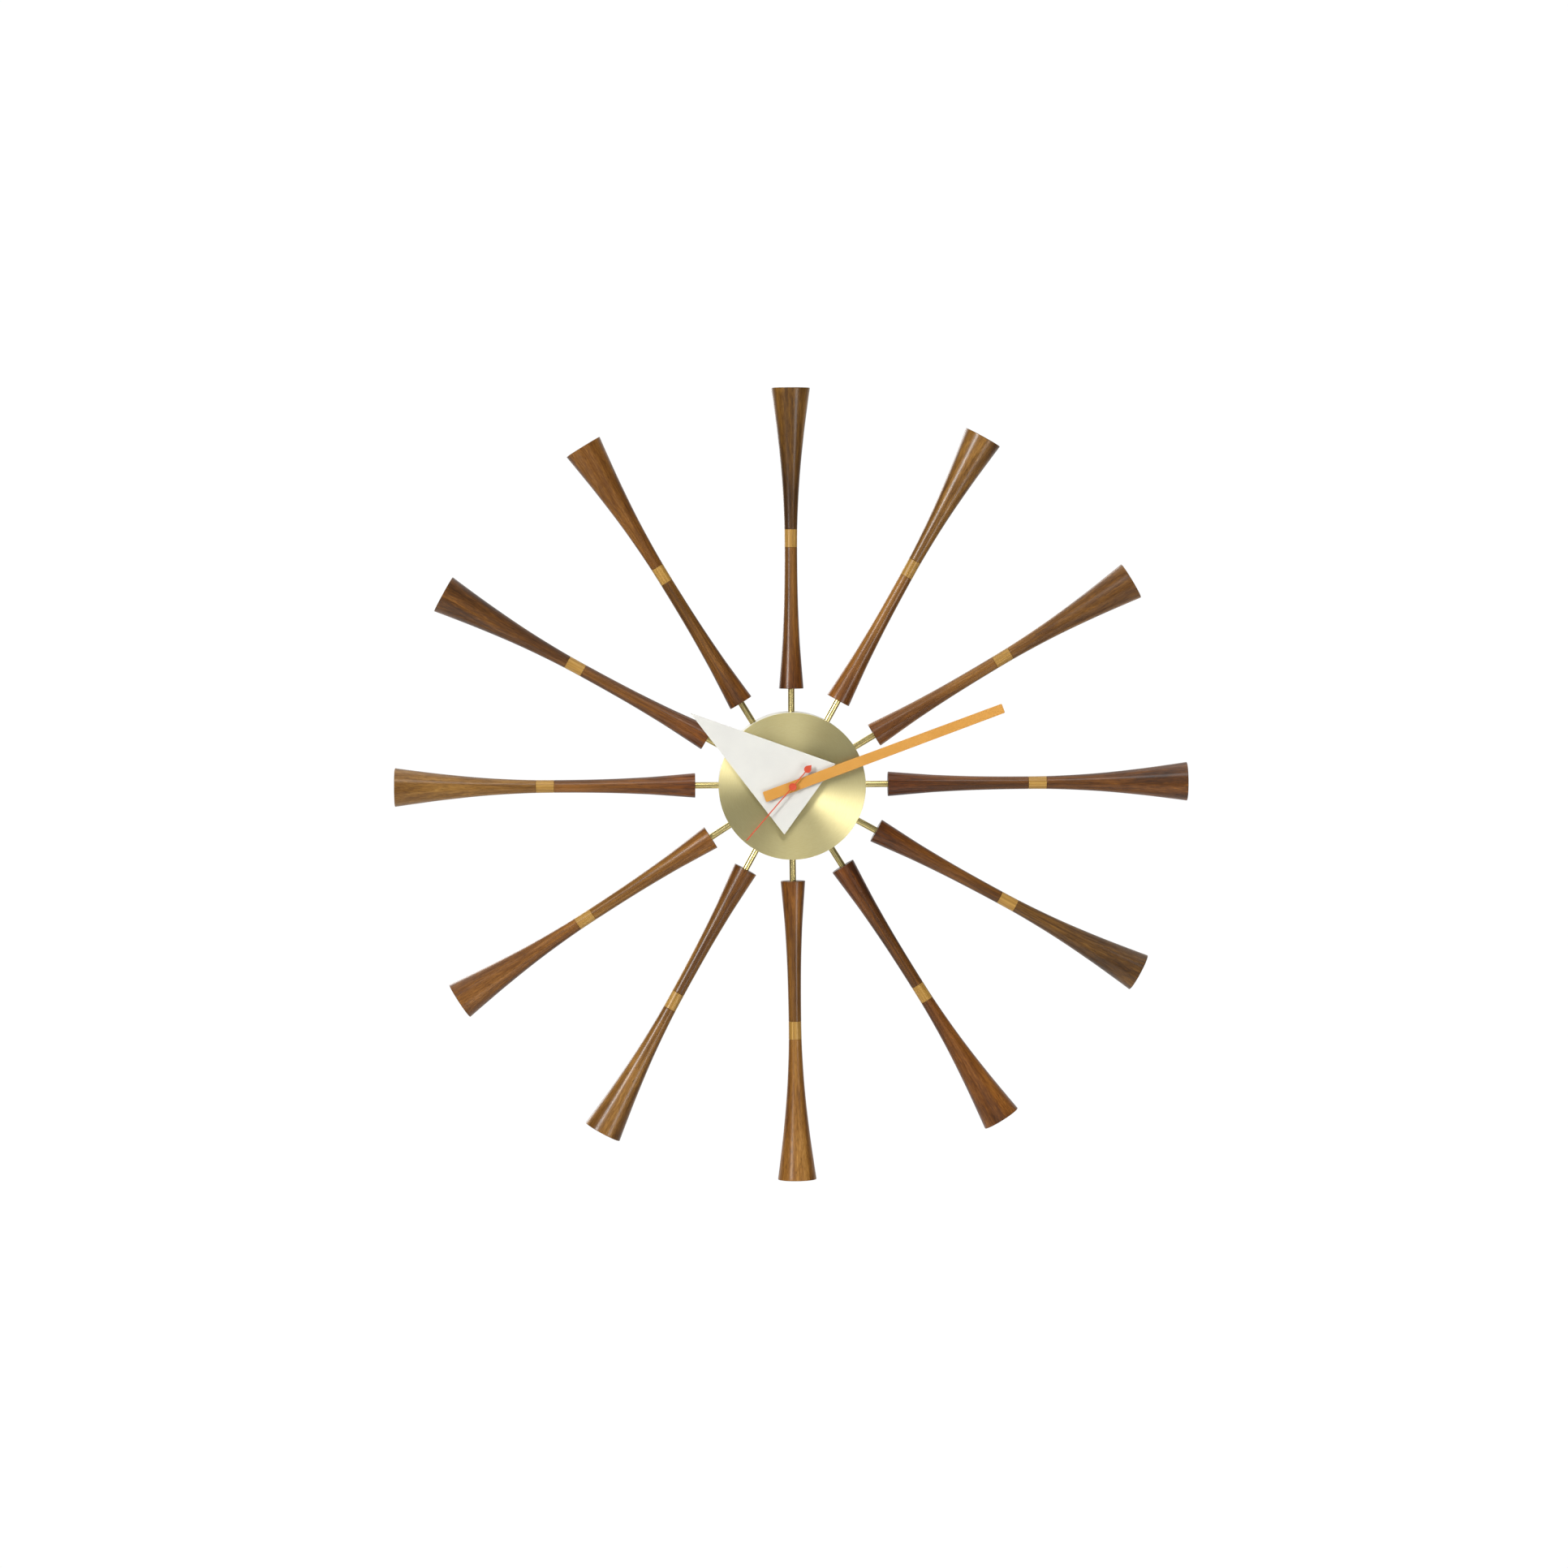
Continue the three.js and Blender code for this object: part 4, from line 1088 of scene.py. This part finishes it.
# %% Back plate
plate_radius, plate_back, plate_front = reach("back_plate")
knob = middle("setting_knob")
screws = [middle(f"cover_screw_{k}") for k in (1, 2, 3)]
KEY_HEAD, KEY_RADIUS, KEY_END, KEY_HALF = 24, 5.5, 34, 2.6
key_angle = math.degrees(math.asin(KEY_HALF / KEY_RADIUS))
keyhole = arc(0, KEY_HEAD, KEY_RADIUS, 90 - key_angle, key_angle - 270, 30)
keyhole += arc(0, KEY_END, KEY_HALF, 180, 0, 14)
plate_loops = [
    circle(0, 0, plate_radius, 144),
    keyhole,
    rounded(-29, -29, 29, -8.9, 2, hole=True),
    circle(knob.x, knob.y, 8, 48, hole=True),
] + [circle(s.x, s.y, 3.15, 32, hole=True) for s in screws]
dress(weigh(sheet_cut("back_plate_pressed", plate_loops, plate_back, plate_front, 0.3)),
      "white_lacquer", "clock", "white_lacquer", "back_plate")
print("back plate: radius %.1f mm, %d openings" % (plate_radius, len(plate_loops) - 1))

# %% Screws, knob and battery
for k, spot in enumerate(screws, 1):
    head = turned(
        f"slotted_screw_{k}",
        [(0, 0.1), (2.9, 0.1), (2.9, 0.35), (1.5, 1.5), (1.5, 10), (0, 10)], 48,
    )
    bevelled(head, 0.1, 2)
    slot_cutter = sheet_cut("slot_cutter", [rounded(-4, -0.4, 4, 0.4, 0.1)], -1, 0.7, 0.05)
    dress(weigh(carved(head, slot_cutter)), "steel", "clock", "steel", f"cover_screw_{k}",
          place=lifted(spot.x, spot.y))

RIBS, RIB_DEPTH = 18, 0.5
low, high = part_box("setting_knob")
knob_radius = (high.x - low.x) / 2 / MM
_, knob_back, stem_end = reach("setting_knob")
ribbed = [
    Vector((r * math.cos(a), r * math.sin(a)))
    for r, a in (
        (knob_radius - RIB_DEPTH * (0.5 - 0.5 * math.cos(RIBS * t)), t)
        for t in (2 * math.pi * k / (RIBS * 8) for k in range(RIBS * 8))
    )
]
knob_loops = [ribbed, circle(0, 0, 3, 48, hole=True)]
ribs = sheet_cut("knob_ribs", knob_loops, knob_back, knob_back + 5, 0.35)
core = turned("knob_core", [
    (0, knob_back + 0.8), (3.0, knob_back + 0.8), (3.0, knob_back + 4.6), (1.2, knob_back + 4.8),
    (1.2, stem_end), (0, stem_end)], 48)
dress(weigh(joined("ribbed_knob", [ribs, core])), "black_plastic", "setting_work", "black_plastic",
      "setting_knob", place=lifted(knob.x, knob.y))
print("screws and knob made")

# %% [markdown]
# The battery is a size AA cell: a steel can in a printed jacket, with a raised button at
# its positive end. It lies along x, so its local z points that way and the jacket's gold
# end finds itself. The faces at both ends get the steel finish.

# %% Battery
low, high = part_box("battery")
can_radius = (high.z - low.z) / 2 / MM
can_length = (high.x - low.x) / MM
centre = middle("battery")
ALONG_X = Matrix.Rotation(math.radians(90), 4, "Y")
cell = turned(
    "battery_cell",
    [
        (0, 0.25), (can_radius - 2.2, 0.25), (can_radius - 1.8, 0), (can_radius - 0.6, 0.1),
        (can_radius, 0.7), (can_radius, can_length - 2.0), (can_radius - 0.7, can_length - 1.3),
        (can_radius - 2.4, can_length - 1.5), (2.9, can_length - 1.3), (2.7, can_length),
        (0, can_length),
    ],
    64,
)
dress(round_edges(cell, 0.15, 2), "battery_jacket", "battery", "battery_jacket", "battery",
      place=lifted(low.x / MM, centre.y, centre.z) @ ALONG_X)
cell.data.materials.append(finishes["steel"])
for face in cell.data.polygons:
    rim = max(Vector(cell.data.vertices[v].co.xy).length for v in face.vertices)
    face.material_index = 1 if rim < (can_radius - 0.65) * MM else 0
print("battery: %.1f mm across, %.1f mm long" % (2 * can_radius, can_length))

# %% [markdown]
# ## The contacts
#
# The positive contact is a flat spring leaf. The negative one carries a conical coil, which
# is what presses the battery home, so its wire is drawn as a helix and skinned round.

# %% Contacts
LEAF = 0.4  # thickness of the sheet
CONE = (3.9, 2.7)  # coil radius at the leaf and at the battery
WIRE = 0.35


def leaf(name, node):
    """The flat leaf of a contact, drawn lying down and stood on edge."""
    spot = middle("contact_positive")  # both leaves stand at its height
    x0, x1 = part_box(node)[0].x / MM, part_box(node)[1].x / MM
    inner = x0 if x0 < 0 else x1 - LEAF
    blade = sheet_cut(name, [rounded(-4.5, -5, 4.5, 5, 1.2)], 0, LEAF, 0.1)
    on_edge = Matrix.Rotation(math.radians(90), 4, "Y") @ Matrix.Rotation(math.radians(90), 4, "Z")
    blade.matrix_world = Matrix.Translation((inner * MM, spot.y * MM, spot.z * MM)) @ on_edge
    return blade


def coil_spring(name, start, length, turns=3, count=40):
    """A conical coil of round wire along x."""
    line = bpy.data.curves.new(name, "CURVE")
    line.dimensions, line.bevel_depth, line.bevel_resolution = "3D", WIRE * MM, 3
    line.use_fill_caps = True
    spline = line.splines.new("POLY")
    spline.points.add(turns * count)
    for k, point in enumerate(spline.points):
        t = k / (turns * count)
        angle, radius = 2 * math.pi * turns * t, CONE[0] + (CONE[1] - CONE[0]) * t
        place = Vector((start + length * t, radius * math.cos(angle), radius * math.sin(angle)))
        point.co = (*(place * MM), 1)
    wire = bpy.data.objects.new(name, line)
    scene.collection.objects.link(wire)
    shape = bpy.data.meshes.new_from_object(wire)
    bpy.data.objects.remove(wire)
    made = bpy.data.objects.new(name, shape)
    scene.collection.objects.link(made)
    return made


positive = leaf("leaf_positive", "contact_positive")
bpy.context.view_layer.update()
dress(weigh(joined("leaf_contact", [positive])), "steel", "clock", "steel", "contact_positive")
negative = leaf("leaf_negative", "contact_negative")
low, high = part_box("contact_negative")
spring_from = low.x / MM + LEAF + WIRE
spring = coil_spring("contact_coil", spring_from, high.x / MM - spring_from - WIRE)
spring.matrix_world = Matrix.Translation((0, middle("battery").y * MM, middle("battery").z * MM))
bpy.context.view_layer.update()
dress(
    weigh(joined("spring_contact", [negative, spring])),
    "steel", "clock", "steel", "contact_negative",
)
print("contacts made")

# %% [markdown]
# ## The works
#
# The movement's case, its wheels and the ring inside the hub already have the right shape in
# the model, but their edges are knife sharp. One loop goes over all of them. It joins the
# flat triangles of each mesh into whole faces, and a narrow bevel then rounds every sharp
# edge, as a mould or a punch would leave it.

# %% Softened works
FLAT = math.radians(0.5)  # faces that turn by less than this are one face
WELD = 2e-6  # metres
ROUNDING_STEPS = 2  # facets across a rounded edge


def softened(node, width):
    """A node's own shape with its sharp edges rounded."""
    bm = bmesh.new()
    bm.from_mesh(frame["nodes"][node].data)
    bmesh.ops.remove_doubles(bm, verts=bm.verts, dist=WELD)
    bmesh.ops.dissolve_limit(bm, angle_limit=FLAT, verts=bm.verts, edges=bm.edges)
    return round_edges(piece_from(f"{node}_finished", bm), width, ROUNDING_STEPS)


WORKS = {
    # node: width of the rounding in millimetres
    "spoke_ring": 0.3, "movement_case": 0.3, "movement_cover": 0.25, "gear_plate": 0.15,
    "intermediate_wheel": 0.03, "seconds_wheel": 0.03, "third_wheel": 0.03, "centre_wheel": 0.03,
    "motion_wheel": 0.03, "hour_wheel": 0.03, "rotor_pinion": 0.03, "rotor_magnet": 0.1,
    "minute_pipe": 0.08, "stator": 0.06, "coil": 0.3, "circuit_board": 0.08, "crystal": 0.1,
}
nodes_of = frame["record"]["behaviour"]["bodies"]
body_of = {node: body for body, nodes in nodes_of.items() for node in nodes}
slot_of = {part["node"]: part["material_slot"] for part in frame["record"]["subparts"]}
for node, width in WORKS.items():
    slot = slot_of[node]
    dress(softened(node, width), slot, body_of[node], slot, node, place=Matrix())
print("works finished:", len(WORKS))

# %% [markdown]
# ## The floor
#
# The clock hangs well above a plain pale floor. The floor is a low round slab, and is only
# there to catch light and to give the other views a ground.

# %% Floor
FLOOR_RADIUS, FLOOR_DEPTH = 2400, 30  # millimetres
FLOOR_PLACE = (0, -0.3, -1.25)  # metres
slab = [(0, -FLOOR_DEPTH), (FLOOR_RADIUS, -FLOOR_DEPTH), (FLOOR_RADIUS, 0), (0, 0)]
floor = turned("floor", slab, 128)
floor.matrix_world = Matrix.Translation(FLOOR_PLACE)
floor_paint, tree, shader = mixed("pale_floor", {"Roughness": 0.8})
cloud = grain(tree, object_space(tree), (3, 3, 3), 3)
tree.links.new(ramp(tree, cloud, [(0.3, "f0efec"), (0.7, "f4f3f1")]), shader.inputs["Base Color"])
floor.data.materials.append(floor_paint)
print("floor laid")
